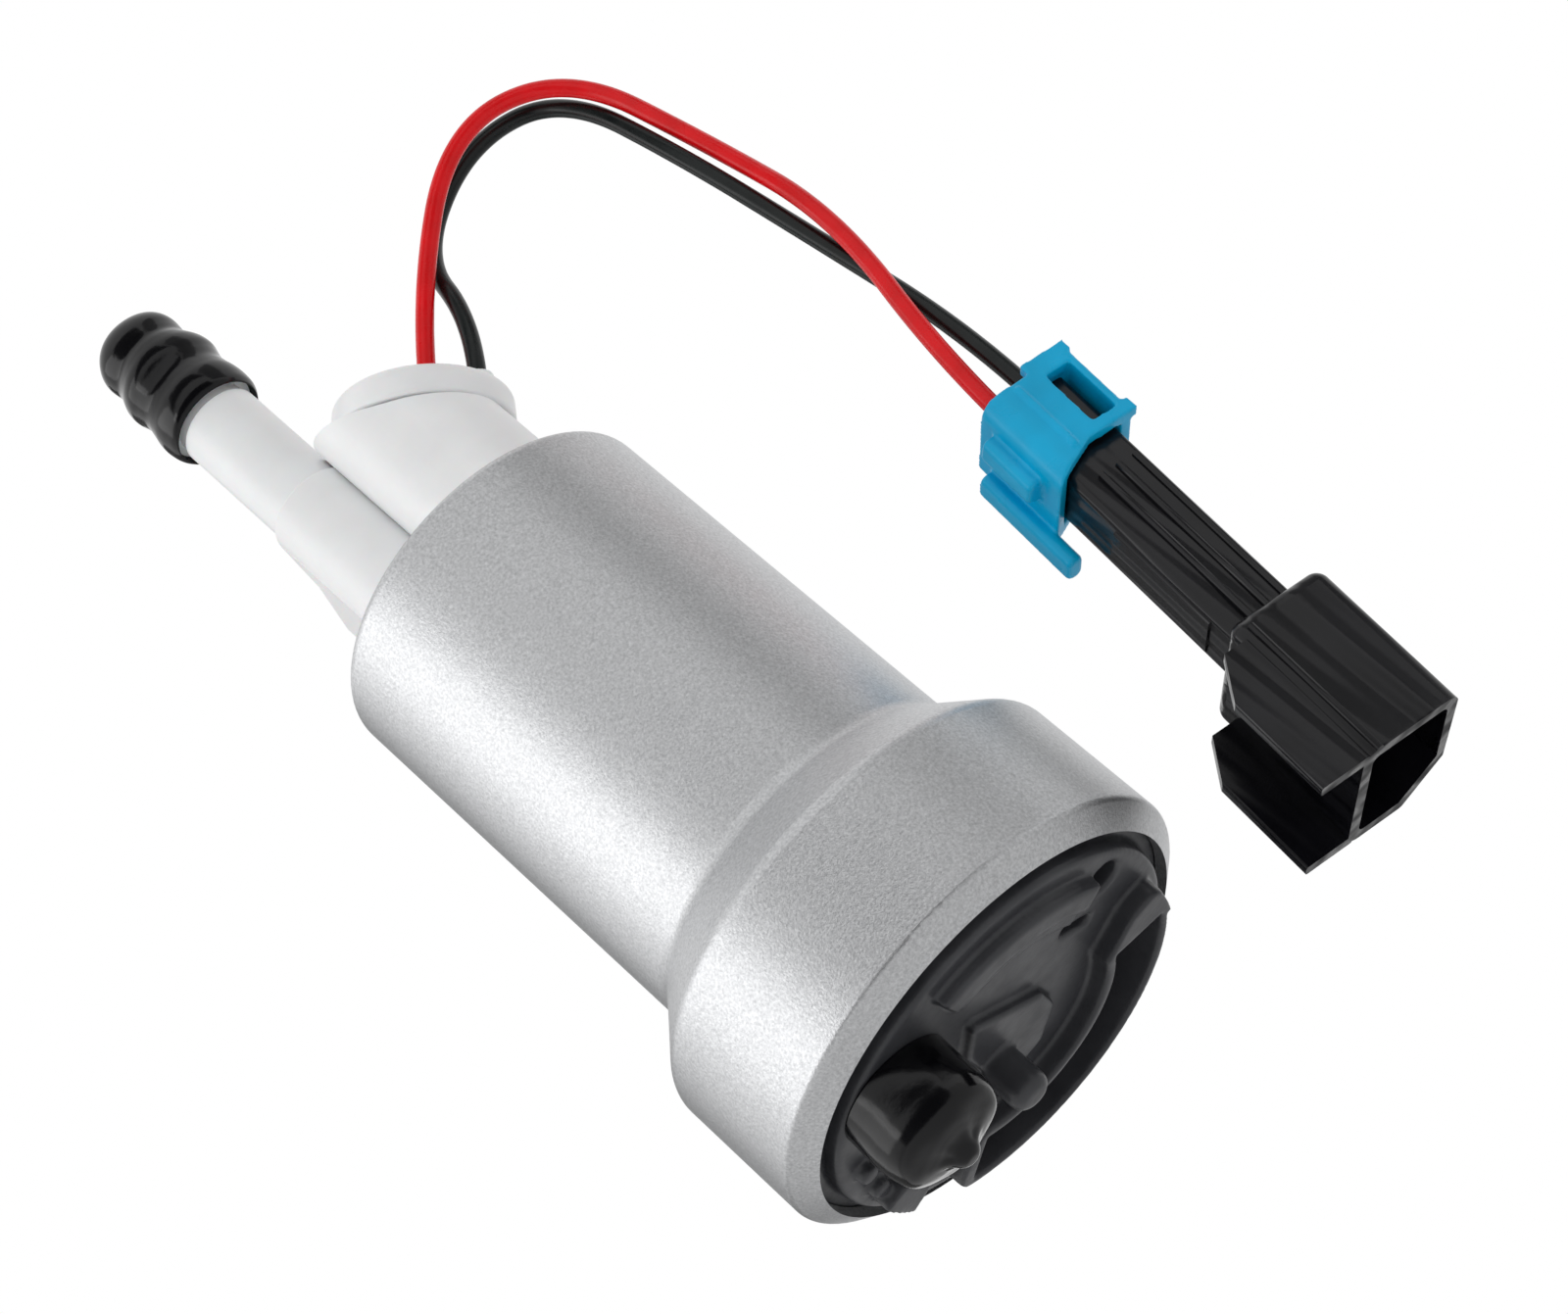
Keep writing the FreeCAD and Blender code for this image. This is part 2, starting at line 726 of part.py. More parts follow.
def make_pump_plate():
    """Upper pump plate: impeller room, ring channel, delivery port and windowed spigot."""
    ceiling = "cover_top + impeller_thick + 2 * impeller_gap"
    body = turned("pump_plate", [
        ("bush_outer + seat_gap", ceiling),
        ("channel_inner", ceiling),
        ("channel_inner", "cover_top + impeller_thick + channel_depth"),
        ("channel_outer", "cover_top + impeller_thick + channel_depth"),
        ("channel_outer", ceiling),
        ("impeller_radius + sliding_gap", ceiling),
        ("impeller_radius + sliding_gap", "cover_top"),
        (HEAD_FIT, "cover_top"),
        (HEAD_FIT, "plate_top - plate_bevel"),
        (f"{HEAD_FIT} - plate_bevel", "plate_top"),
        ("spigot_outer", "plate_top"),
        ("spigot_outer", "spigot_top"),
        ("spigot_inner", "spigot_top"),
        ("spigot_inner", "plate_top"),
        ("bush_outer + seat_gap", "plate_top")])
    port = sketch_on(body, "port", level="plate_top")
    circle(port, "port_radius", "(channel_inner + channel_outer) / 2 * cos(port_turn)",
           "(channel_inner + channel_outer) / 2 * sin(port_turn)")
    pocket(body, port, "plate_top - cover_top - impeller_thick")
    window = sketch_on(body, "window", "XZ_Plane")
    box_outline(window, "spigot_window / 2", "(spigot_top - plate_top) / 2 - window_margin",
                y="(spigot_top + plate_top) / 2", rounding="window_round")
    around(body, pocket(body, window, "head_radius"), "window_count")


def make_bush(label, low, high):
    """Plain sintered bearing for the shaft."""
    turned(label, sleeve_corners("shaft_radius + running_gap", "bush_outer", low, high))


def make_thrust_disc():
    """Hard disc under the shaft's end."""
    turned("thrust_disc", sleeve_corners("0", "thrust_radius", "thrust_level", "thrust_level + thrust_thick"))


def make_seal_ring():
    """Rubber ring that seals the upper plate to the can."""
    low, high = "plate_top + seat_gap", "plate_top + seal_thick"
    turned("seal_ring", [("seal_inner", low, "seal_round"), ("seal_outer", low, "seal_round"),
                         ("seal_outer", high, "seal_round"), ("seal_inner", high, "seal_round")])


def make_impeller():
    """Turbine impeller: a flat disc with vane pockets round its rim."""
    low = "cover_top + impeller_gap"
    body = turned("impeller", sleeve_corners("shaft_radius + seat_gap", "impeller_radius", low,
                                             f"{low} + impeller_thick"))
    vane = sketch_on(body, "vane", level=f"{low} + impeller_thick")
    box_outline(vane, "vane_depth / 2", "vane_wide / 2", x="impeller_radius - vane_rim - vane_depth / 2",
                rounding="vane_round")
    around(body, pocket(body, vane, "impeller_thick"), "vane_count")


def make_shaft():
    """Ground shaft with bevelled ends."""
    inside = "shaft_radius - shaft_bevel"
    turned("shaft", [
        ("0", "shaft_low"), (inside, "shaft_low"), ("shaft_radius", "shaft_low + shaft_bevel"),
        ("shaft_radius", "shaft_high - shaft_bevel"), (inside, "shaft_high"), ("0", "shaft_high")])


def make_core():
    """Laminated core with wound slots that open at the rim through narrow mouths."""
    bore = "shaft_radius + seat_gap"
    body = turned("armature_core", sleeve_corners(bore, "core_radius", "core_low", "core_high"))
    room = sketch_on(body, "slot", level="core_high")
    box_outline(room, "(core_slot_outer - core_slot_inner) / 2", "core_slot_wide / 2",
                x="(core_slot_outer + core_slot_inner) / 2", rounding="core_slot_round")
    around(body, pocket(body, room, "core_high - core_low"), "slot_count")
    mouth = sketch_on(body, "mouth", level="core_high")
    box_outline(mouth, "(core_radius - core_slot_outer + core_slot_round) / 2", "core_mouth_wide / 2",
                x="(core_radius + core_slot_outer) / 2")
    around(body, pocket(body, mouth, "core_high - core_low"), "slot_count")


def make_windings():
    """Windings: a bundle in each slot and the rounded coil heads at both ends."""
    body = turned("windings", [
        ("coil_inner", "coil_low", "coil_round"), ("coil_outer", "coil_low", "coil_round"),
        ("coil_outer", "core_low - coil_gap"), ("coil_inner", "core_low - coil_gap")])
    bars = sketch_on(body, "bars", level="core_low - coil_gap")
    box_outline(bars, "(core_slot_outer - core_slot_inner) / 2 - coil_gap", "core_slot_wide / 2 - coil_gap",
                x="(core_slot_outer + core_slot_inner) / 2", rounding="core_slot_round - coil_gap")
    around(body, pad(body, bars, "core_high - core_low + 2 * coil_gap"), "slot_count")
    head = sketch_on(body, "head", "XZ_Plane")
    outline(head, [("coil_inner", "core_high + coil_gap"), ("coil_outer", "core_high + coil_gap"),
                   ("coil_outer", "coil_high", "coil_round"), ("coil_inner", "coil_high", "coil_round")])
    revolve(body, head)


def make_commutator():
    """Face commutator: a flat copper disc split into bars."""
    hub, bore = "shaft_radius + commutator_hub", "shaft_radius + seat_gap"
    body = turned("commutator", [
        (bore, "commutator_low"), ("commutator_radius - commutator_bevel", "commutator_low"),
        ("commutator_radius", "commutator_low + commutator_bevel"), ("commutator_radius", "commutator_high"),
        (hub, "commutator_high"), (hub, "commutator_high - commutator_bevel"),
        (bore, "commutator_high - commutator_bevel")])
    split = sketch_on(body, "split", level="commutator_high")
    box_outline(split, f"(commutator_radius - ({hub}) + bar_gap) / 2", "bar_gap / 2",
                x=f"(commutator_radius + {hub} + bar_gap) / 2")
    around(body, pocket(body, split, "bar_depth"), "slot_count")


def make_flux_ring():
    """Rolled steel ring behind the magnets."""
    turned("flux_ring", sleeve_corners("ring_inner", "ring_outer", "spigot_top + seat_gap", "ring_top"))


def make_magnet(label, middle):
    """Arc magnet with eased corners."""
    body = new_body(label)
    face = sketch_on(body, "face", level="magnet_low")
    sector(face, "magnet_inner", "ring_inner - seat_gap", f"{middle} - magnet_half_angle",
           f"{middle} + magnet_half_angle")
    pad(body, face, "magnet_high - magnet_low")
    soften(body, "magnet_round", upright)


def make_clip(label, middle):
    """Channel-shaped spring clip that spreads the magnets."""
    body = new_body(label)
    low = "magnet_low + clip_margin"
    face = sketch_on(body, "face", level=low)
    sector(face, "magnet_inner + clip_margin / 2", "ring_inner - seat_gap", f"{middle} - clip_half_angle",
           f"{middle} + clip_half_angle")
    pad(body, face, "magnet_high - magnet_low - 2 * clip_margin")
    room = sketch_on(body, "room", level=low)
    sector(room, "magnet_inner - clip_margin", "ring_inner - seat_gap - clip_sheet",
           f"{middle} - clip_half_angle + clip_flange", f"{middle} + clip_half_angle - clip_flange")
    pocket(body, room, "magnet_high - magnet_low - 2 * clip_margin", up=True)


def make_brush(end, side):
    """Carbon brush that rides on the commutator."""
    body = new_body(f"brush_{end}", "0", f"{side} * brush_place")
    face = sketch_on(body, "face", level="commutator_high + rest_gap")
    box_outline(face, "brush_wide / 2", "brush_long / 2", rounding="brush_round")
    pad(body, face, "brush_high - commutator_high - rest_gap")


def spring(label, outer, low, high, turns, *spot):
    """A coil spring between two seats."""
    body = new_body(label, *spot)
    section = sketch_on(body, "section", "XZ_Plane")
    circle(section, "spring_wire", f"{outer} - spring_wire", f"{low} + rest_gap + spring_wire")
    coil = body.newObject("PartDesign::AdditiveHelix", f"{label}_coil")
    coil.Profile = section
    coil.ReferenceAxis = (section, ["V_Axis"])
    coil.Mode = 1
    height = f"(({high}) - ({low}) - 2 * rest_gap - 2 * spring_wire)"
    coil.setExpression("Pitch", bind(f"{height} / {turns}"))
    coil.setExpression("Height", bind(height))
    coil.setExpression("Turns", bind(turns))
    coil.Mode = 0
    section.Visibility = False
    doc.recompute()


def add_tower(body):
    """Slanted plug tower with the catch that holds the plug's head."""
    tower = sketch_on(body, "tower", level="cap_deck")
    box_outline(tower, "socket_half_x", "socket_half_y", x="socket_middle", rounding="socket_round")
    pad(body, tower, "seat_level + socket_half_x - cap_deck")
    slant = sketch_on(body, "slant", "XZ_Plane")
    far, rise = "(4 * socket_half_x)", "tan(socket_tilt)"
    outline(slant, [(f"seat_x - {far}", f"seat_level + {far} * {rise}"),
                    (f"seat_x + {far}", f"seat_level - {far} * {rise}"),
                    (f"seat_x + {far}", f"seat_level + {far} * {rise}")])
    pocket(body, slant, "4 * socket_half_y", both=True)
    catch = sketch_on(body, "catch", "XZ_Plane")
    outline(catch, [("catch_x", "catch_low"), ("catch_x + catch_deep", "catch_low"),
                    ("catch_x + catch_deep", "catch_high - catch_bevel"),
                    ("catch_x + catch_bevel", "catch_high"), ("catch_x", "catch_high - catch_bevel")])
    pad(body, catch, "catch_wide", both=True)


def add_base(body):
    """Thick base of the outlet tube with a web on its outer side."""
    base = sketch_on(body, "tube_base", level="cap_deck")
    circle(base, "tube_base_radius", "tube_x")
    pad(body, base, "tube_base_top - cap_deck")
    soften(body, "edge_round", flat_at("tube_base_top"))
    web = sketch_on(body, "web", "XZ_Plane")
    rim, shelf = "tube_x - tube_base_radius", "tube_base_top - 2 * edge_round"
    outline(web, [("tube_x", "cap_deck - cap_deck_round"), ("web_x", "cap_deck - cap_deck_round"),
                  ("web_x", "web_low"), (f"{rim} - edge_round", "web_middle"), (rim, shelf),
                  ("tube_x", shelf)])
    pad(body, web, "web_thick", both=True)


def add_tube(body):
    """Outlet tube with the two barbs under its dust cap."""
    tube = sketch_on(body, "tube", "XZ_Plane")
    neck, wide = "tube_x + barb_neck_radius", "tube_x + barb_radius"
    outline(tube, [
        ("tube_x", "tube_base_top - edge_round"), ("tube_x + tube_radius", "tube_base_top - edge_round"),
        ("tube_x + tube_radius", "outlet_cap_low - edge_round"), (neck, "outlet_cap_low"),
        (neck, "barb_one - barb_drop"), (wide, "barb_one - barb_drop"), (neck, "barb_one + barb_rise"),
        (neck, "barb_two - barb_drop"), (wide, "barb_two - barb_drop"), (neck, "barb_two + barb_rise"),
        (neck, "tube_top", "tube_tip_round"), ("tube_x", "tube_top")])
    revolve(body, tube, along="tube_x")


def cut_socket(body):
    """The plug's room, sunk square to the slanted face."""
    room = sketch_on(body, "room", "XZ_Plane")
    slide, down = "cos(socket_tilt)", "sin(socket_tilt)"
    corners = ((-1, "room_clear"), (-1, "-room_depth"), (1, "-room_depth"), (1, "room_clear"))
    outline(room, [(f"seat_x + {i} * room_half_x * {slide} + {j} * {down}",
                    f"seat_level - {i} * room_half_x * {down} + {j} * {slide}") for i, j in corners])
    pocket(body, room, "2 * room_half_y", both=True)


def cut_rooms(body):
    """Bearing seat, brush rooms, choke rooms, outlet passage and the relief valve's room."""
    bearing = sketch_on(body, "bearing", level="cap_low")
    circle(bearing, "bush_outer + seat_gap")
    pocket(body, bearing, "shaft_high + plate_bevel - cap_low", up=True)
    brushes = sketch_on(body, "brushes", level="cap_low")
    for side in ("-1", "1"):
        box_outline(brushes, "brush_wide / 2 + sliding_gap", "brush_long / 2 + sliding_gap",
                    y=f"{side} * brush_place")
        circle(brushes, "choke_room", "choke_x", f"{side} * choke_y")
    pocket(body, brushes, "brush_room_top - cap_low", up=True)
    passage = sketch_on(body, "passage", level="cap_low")
    circle(passage, "passage_radius", "tube_x")
    circle(passage, "relief_hole", "relief_x", "relief_y")
    pocket(body, passage, "valve_seat_level - cap_low", up=True)
    bore = sketch_on(body, "bore", level="valve_seat_level")
    circle(bore, "tube_bore", "tube_x")
    pocket(body, bore, "tube_top - valve_seat_level", up=True)
    relief = sketch_on(body, "relief", level="relief_seat_level")
    circle(relief, "relief_radius", "relief_x", "relief_y")
    pocket(body, relief, "cap_deck - relief_seat_level", up=True)


def make_outlet_cap():
    """Moulded end cap: bearing seat, brush rooms, barbed tube with its valve and the plug's tower."""
    body = turned("outlet_cap", [
        ("0", "cap_low"), ("cap_skirt", "cap_low"), ("cap_skirt", "ring_top + seat_gap"),
        ("cap_flange", "ring_top + seat_gap"), ("cap_flange", "cap_flange_top"),
        ("cap_body", "cap_flange_top"), ("cap_body", "cap_deck", "cap_deck_round"), ("0", "cap_deck")])
    add_base(body)
    add_tower(body)
    add_tube(body)
    cut_socket(body)
    cut_rooms(body)


def make_check_valve():
    """Check valve: a flat head on the seat and a stem that runs in the stop."""
    seat, stem_top = "valve_seat_level + rest_gap", "valve_stop_low - valve_lift - valve_margin"
    turned("check_valve", [
        ("0", seat), ("valve_radius", seat), ("valve_radius", "valve_seat_level + valve_head"),
        ("valve_stem", "valve_seat_level + valve_shoulder"), ("valve_stem", stem_top), ("0", stem_top)],
        "tube_x")


def make_valve_stop(label, inner, outer, low, high, *spot):
    """Ring pressed in above a valve's spring."""
    turned(label, sleeve_corners(inner, f"{outer} - seat_gap", low, high), *spot)


def make_relief_valve():
    """Relief valve: a blunt plug with a pin for its spring."""
    seat, belt = "relief_seat_level + rest_gap", "relief_seat_level + ball_low"
    shoulder, top = "relief_seat_level + ball_high", "relief_seat_level + ball_pin_top"
    turned("relief_valve", [
        ("0", seat), ("ball_radius - edge_round", seat), ("ball_radius", belt), ("ball_radius", shoulder),
        ("ball_pin", f"{shoulder} + edge_round"), ("ball_pin", top), ("0", top)], "relief_x", "relief_y")


def make_choke(end, side):
    """Ferrite choke with its two leads' stubs."""
    turned(f"choke_{end}", [
        ("0", "choke_low"), ("choke_core", "choke_low"), ("choke_core", "choke_low + choke_stub"),
        ("choke_radius", "choke_low + choke_stub"), ("choke_radius", "choke_high - choke_stub"),
        ("choke_core", "choke_high - choke_stub"), ("choke_core", "choke_high"), ("0", "choke_high")],
        "choke_x", f"{side} * choke_y")


def tilted_body(label):
    """Start a body in the plug's frame, whose Z is the way the plug pulls out."""
    return new_body(label, "seat_x", "0", "seat_level", axis=Vector(0, 1, 0), turn="socket_tilt")


def make_terminal(place_name, side):
    """Blade that stands in the socket."""
    body = tilted_body(f"terminal_{place_name}")
    face = sketch_on(body, "face", level="-room_depth")
    box_outline(face, "blade_thick / 2", "blade_wide / 2", x=f"{side} * contact_place")
    pad(body, face, "blade_rise")
    soften(body, "blade_thick / 3", flat_at("blade_rise - room_depth"), "Chamfer")


def make_plug():
    """Plug of the lead: a round head on the tower, a nose in the socket and a sleeve for each wire."""
    body = tilted_body("lead_plug")
    head = sketch_on(body, "head", level="head_low")
    circle(head, "plug_radius")
    pad(body, head, "head_high - head_low")
    soften(body, "head_round", flat_at("head_high"))
    soften(body, "edge_round", flat_at("head_low"))
    nose = sketch_on(body, "nose", level="head_low")
    box_outline(nose, "room_half_x - sliding_gap", "room_half_y - sliding_gap", rounding="edge_round")
    pad(body, nose, "nose_length", down=True)
    slots = sketch_on(body, "slots", level="head_low - nose_length")
    for side in ("-1", "1"):
        box_outline(slots, "contact_wide / 2 + seat_gap", "contact_long / 2 + seat_gap",
                    x=f"{side} * contact_place")
    pocket(body, slots, "contact_high", up=True)
    sleeves = sketch_on(body, "sleeves", level="head_high")
    for spot in ("sleeve_red", "sleeve_black"):
        circle(sleeves, "sleeve_radius", spot)
    pad(body, sleeves, "sleeve_high")
    return body


def make_plug_contact(place_name, side):
    """Box contact in the plug's nose that slides over a blade."""
    body = tilted_body(f"plug_contact_{place_name}")
    face = sketch_on(body, "face", level="head_low - nose_length + contact_margin")
    for less in ("0", "contact_sheet"):
        box_outline(face, f"contact_wide / 2 - {less}", f"contact_long / 2 - {less}",
                    x=f"{side} * contact_place")
    pad(body, face, "contact_high - contact_margin - seat_gap")


def connector_body(label):
    """Start a body in the connector's frame, which is turned and then leans out from the can."""
    body = doc.addObject("PartDesign::Body", label)
    body.Label = label
    body.setExpression("Placement", bind(
        "create(<<placement>>; create(<<vector>>; connector_x; 0 mm; -mount_level); "
        "create(<<rotation>>; create(<<vector>>; 0; 1; 0); connector_lean) * "
        "create(<<rotation>>; create(<<vector>>; 0; 0; 1); connector_turn))"))
    doc.recompute()
    return body


def shroud_outline(sketch, less, rounding):
    """The shroud's outline, with one bevelled corner, drawn in by a given amount."""
    half_x, half_y = f"(shroud_half_x - {less})", f"(shroud_half_y - {less})"
    cut = f"(shroud_chamfer - (2 - sqrt(2)) * {less})"
    outline(sketch, [(f"-{half_x}", half_y, rounding), (f"-{half_x}", f"{cut} - {half_y}"),
                     (f"{cut} - {half_x}", f"-{half_y}"), (half_x, f"-{half_y}", rounding),
                     (half_x, half_y, rounding)])


def add_stem(body):
    """Stem of the connector with its long ribs and the flat panel."""
    root = "shroud_high - stem_sunk"
    stem = sketch_on(body, "stem", level=root)
    box_outline(stem, "stem_half_x", "stem_half_y", rounding="stem_round")
    pad(body, stem, f"stem_high - ({root})")
    ribs = sketch_on(body, "ribs", level=root)
    for step in ("-1.5", "-0.5", "0.5"):
        box_outline(ribs, "stem_rib_wide / 2", "stem_rib_high", x=f"{step} * stem_rib_step", y="stem_half_y")
    pad(body, ribs, f"stem_rib_end - ({root})")
    panel = sketch_on(body, "panel", level="panel_low")
    box_outline(panel, "panel_sheet", "stem_half_y - stem_round - sliding_gap", x="stem_half_x")
    pad(body, panel, "panel_high - panel_low")


def add_wings(body):
    """Two plates that guard the latch, each with a sloped back."""
    wings = sketch_on(body, "wings", "XZ_Plane")
    root, tip = "shroud_half_x - shroud_wall / 2", "shroud_half_x + wing_length"
    outline(wings, [(root, "shroud_low"), (tip, "shroud_low"), (tip, "wing_knee"),
                    ("shroud_half_x + wing_root", "wing_high"), (root, "wing_high")])
    pad(body, wings, "2 * shroud_half_y", both=True)
    between = sketch_on(body, "between", "XZ_Plane")
    outline(between, [("shroud_half_x", "shroud_low - wall"), (f"{tip} + wall", "shroud_low - wall"),
                      (f"{tip} + wall", "wing_high + wall"), ("shroud_half_x", "wing_high + wall")])
    pocket(body, between, "2 * (shroud_half_y - shroud_wall)", both=True)


def make_connector():
    """Two-way housing at the lead's end: open shroud, rounded back, stem and latch guards."""
    body = connector_body("connector_housing")
    shroud = sketch_on(body, "shroud", level="shroud_low")
    shroud_outline(shroud, "0", "shroud_round")
    pad(body, shroud, "shroud_high - shroud_low")
    soften(body, "shroud_back_round", flat_at("shroud_high"))
    add_stem(body)
    add_wings(body)
    ridge = sketch_on(body, "ridge", level="shroud_low")
    box_outline(ridge, "stem_rib_wide / 2", "shroud_rib",
                x="shroud_half_x - shroud_round - stem_rib_wide / 2", y="shroud_half_y")
    pad(body, ridge, "shroud_high - shroud_back_round - shroud_low")
    cavity = sketch_on(body, "cavity", level="shroud_low")
    shroud_outline(cavity, "shroud_wall", "shroud_round - shroud_wall / 2")
    pocket(body, cavity, "shroud_high - shroud_low - shroud_floor", up=True)
    return body


def make_connector_blade(colour, side):
    """Male blade that stands in the shroud under one wire."""
    body = connector_body(f"connector_blade_{colour}")
    root = "shroud_high - shroud_floor - seat_gap"
    face = sketch_on(body, "face", level=root)
    box_outline(face, "terminal_thick / 2", "terminal_wide / 2", x=f"{side} * wire_step")
    pad(body, face, "terminal_length", down=True)
    soften(body, "terminal_thick / 3", flat_at(f"{root} - terminal_length"), "Chamfer")


def add_lock_front(body, reach_x, reach_y):
    """Front of the lock: sloped lower edge, window in a raised frame, and a long ridge."""
    slope = sketch_on(body, "slope", "XZ_Plane")
    outline(slope, [(reach_x, "lock_low - lock_sheet"), (reach_x, "lock_low"), ("0", "lock_low + lock_slope"),
                    (f"-{reach_x} - lock_sheet", "lock_low + lock_slope"),
                    (f"-{reach_x} - lock_sheet", "lock_low - lock_sheet")])
    pocket(body, slope, f"2 * {reach_y} + lock_sheet", both=True)
    frame = sketch_on(body, "frame", level="lock_high")
    box_outline(frame, "lock_window_wide / 2 + lock_bar", "lock_sheet / 2", x="lock_window_x",
                y=f"{reach_y} - lock_sheet / 2")
    pad(body, frame, "lock_frame_rise")
    flare = sketch_on(body, "flare", level="lock_low + lock_slope")
    box_outline(flare, "lock_bar / 2", "lock_sheet / 2", x=f"-{reach_x}", y=f"{reach_y} - lock_sheet / 2",
                rounding="edge_round / 2")
    pad(body, flare, "lock_flare")
    ridge = sketch_on(body, "ridge", level="lock_low + lock_slope")
    box_outline(ridge, "stem_rib_wide / 3", "shroud_rib", x="lock_ridge_x", y=reach_y)
    pad(body, ridge, "lock_high - lock_low - lock_slope - lock_sheet / 2")
    window = sketch_on(body, "window", "XZ_Plane")
    box_outline(window, "lock_window_wide / 2", "(lock_window_high - lock_window_low) / 2", x="lock_window_x",
                y="(lock_window_low + lock_window_high) / 2", rounding="edge_round / 2")
    pocket(body, window, "3 * stem_half_y")


def make_lock():
    """Lock: a sleeve on the stem with a window in front and two tongues on the latch side."""
    body = connector_body("connector_lock")
    half_x, half_y = "stem_half_x + sliding_gap", "stem_half_y + stem_rib_high + sliding_gap"
    reach_x, reach_y = f"({half_x} + lock_sheet)", f"({half_y} + lock_sheet)"
    sleeve = sketch_on(body, "sleeve", level="lock_low")
    outline(sleeve, [(f"-{reach_x}", f"-{reach_y}", "edge_round"), (reach_x, f"-{reach_y}", "edge_round"),
                     (reach_x, reach_y, "lock_round"), (f"-{reach_x}", reach_y, "edge_round")])
    pad(body, sleeve, "lock_high - lock_low")
    inside = sketch_on(body, "inside", level="lock_low")
    box_outline(inside, half_x, half_y)
    pocket(body, inside, "stem_high + seat_gap - lock_low", up=True)
    ways = sketch_on(body, "ways", level="stem_high")
    for side in ("-1", "1"):
        circle(ways, "wire_radius + wire_clear", f"{side} * wire_step")
    pocket(body, ways, "lock_high - stem_high + lock_sheet", up=True)
    add_lock_front(body, reach_x, reach_y)
    for end in ("front", "back"):
        low = f"arm_{end}_low"
        arm = sketch_on(body, f"arm_{end}", level=low)
        box_outline(arm, "lock_arm_thick / 2", "arm_half",
                    x=f"{reach_x} + (lock_arm_thick - edge_round) / 2", y=f"arm_{end}_y", rounding="arm_round")
        pad(body, arm, f"lock_arm_high - {low}")
        soften(body, "arm_round / 2", flat_at(low))


def make_outlet_dust_cap():
    """Dipped vinyl cap on the outlet tube, swollen by the two barbs."""
    bore, neck, ceiling = "barb_radius + seat_gap", "barb_neck_radius + seat_gap", "tube_top + cap_clear"
    turned("outlet_dust_cap", [
        (bore, "outlet_cap_low"), ("outlet_cap_valley", "outlet_cap_low"),
        ("outlet_cap_bulge", "barb_one", "bulge_round"),
        ("outlet_cap_valley", "(barb_one + barb_two) / 2", "valley_round"),
        ("outlet_cap_bulge", "barb_two", "bulge_round"),
        ("outlet_cap_dome", "outlet_cap_neck + cap_sheet", "valley_round"),
        ("outlet_cap_dome", "outlet_cap_top", "outlet_cap_dome - cap_sheet"),
        ("0", "outlet_cap_top"), ("0", ceiling), (neck, ceiling, "tube_tip_round"),
        (neck, "barb_two + barb_rise"), (bore, "barb_two - barb_drop")], "tube_x")


def make_inlet_dust_cap():
    """Dipped vinyl cap on the inlet spigot, with the nib that its former leaves."""
    bore, ceiling = "inlet_radius + seat_gap", "inlet_tip - cover_face - cap_clear"
    skirt = f"{bore} + cap_sheet"
    turned("inlet_dust_cap", [
        (bore, "0"), (skirt, "0"), (skirt, "-inlet_cap_side", "inlet_cap_round"),
        ("nib_root", "-inlet_cap_side - inlet_cap_dome", "valley_round"),
        ("nib_tip", "-inlet_cap_tip", "edge_round"),
        ("0", "-inlet_cap_tip"), ("0", ceiling), (bore, ceiling)],
        "inlet_x", "inlet_y", "cover_face - seat_gap")


RED_MIDDLE = [(33.2, -1.97, 113.28), (46.2, 0.06, 108.01), (49.5, 1.48, 89.34), (51, -1.4, 70.37)]
BLACK_MIDDLE = [(21.25, 3.03, 108.32), (33.9, 3.43, 114.02), (44.35, 2.46, 108.23), (46.6, 0.2, 89.6),
                (48.35, 1.56, 73.25)]


def wire_points(sleeve, run_out, run_in, side, middle):
    """A wire's points: straight out of its sleeve, over to the connector and straight into the stem."""
    start = Vector(number(sleeve), 0, number("head_high + sleeve_high"))
    end = Vector(side * number("wire_step"), 0, number("stem_high"))
    first, last = UP * number(run_out), UP * number(run_in)
    between = [Vector(*spot) - UP * number("mount_level") for spot in middle]
    return ([plug.Placement.multVec(start + run) for run in (Vector(), first)] + between
            + [connector.Placement.multVec(end + run) for run in (last, Vector())])


def cord(label, points):
    """A plain tube of straight runs joined by tangent arcs."""
    radius = number("wire_radius")
    edges = []
    here = points[0]
    radii = []
    for before, corner, after in zip(points, points[1:], points[2:]):
        back, ahead = before - corner, after - corner
        half_turn = (math.pi - back.getAngle(ahead)) / 2
        reach = 0.45 * min(back.Length, ahead.Length)
        radii.append(reach / math.tan(half_turn))
        back.normalize()
        ahead.normalize()
        start, end = corner + back * reach, corner + ahead * reach
        middle = corner + (back + ahead).normalize() * (radii[-1] * (1 / math.cos(half_turn) - 1))
        edges += [Part.makeLine(here, start), Part.Arc(start, middle, end).toShape()]
        here = end
    edges.append(Part.makeLine(here, points[-1]))
    spine = Part.Wire(edges)
    ring = Part.Wire(Part.makeCircle(radius, points[0], points[1] - points[0]))
    piece = doc.addObject("Part::Feature", label)
    piece.Label = label
    piece.Shape = spine.makePipeShell([ring], True, False)
    piece.Placement = FreeCAD.Placement()
    share = piece.Shape.Volume / (math.pi * radius ** 2 * spine.Length)
    print(label, [tuple(round(value, 2) for value in point) for point in points])
    print(f"{label}: length {spine.Length:.1f}, arc radii {[round(size, 1) for size in radii]}, "
          f"volume over section times length {share:.4f}")


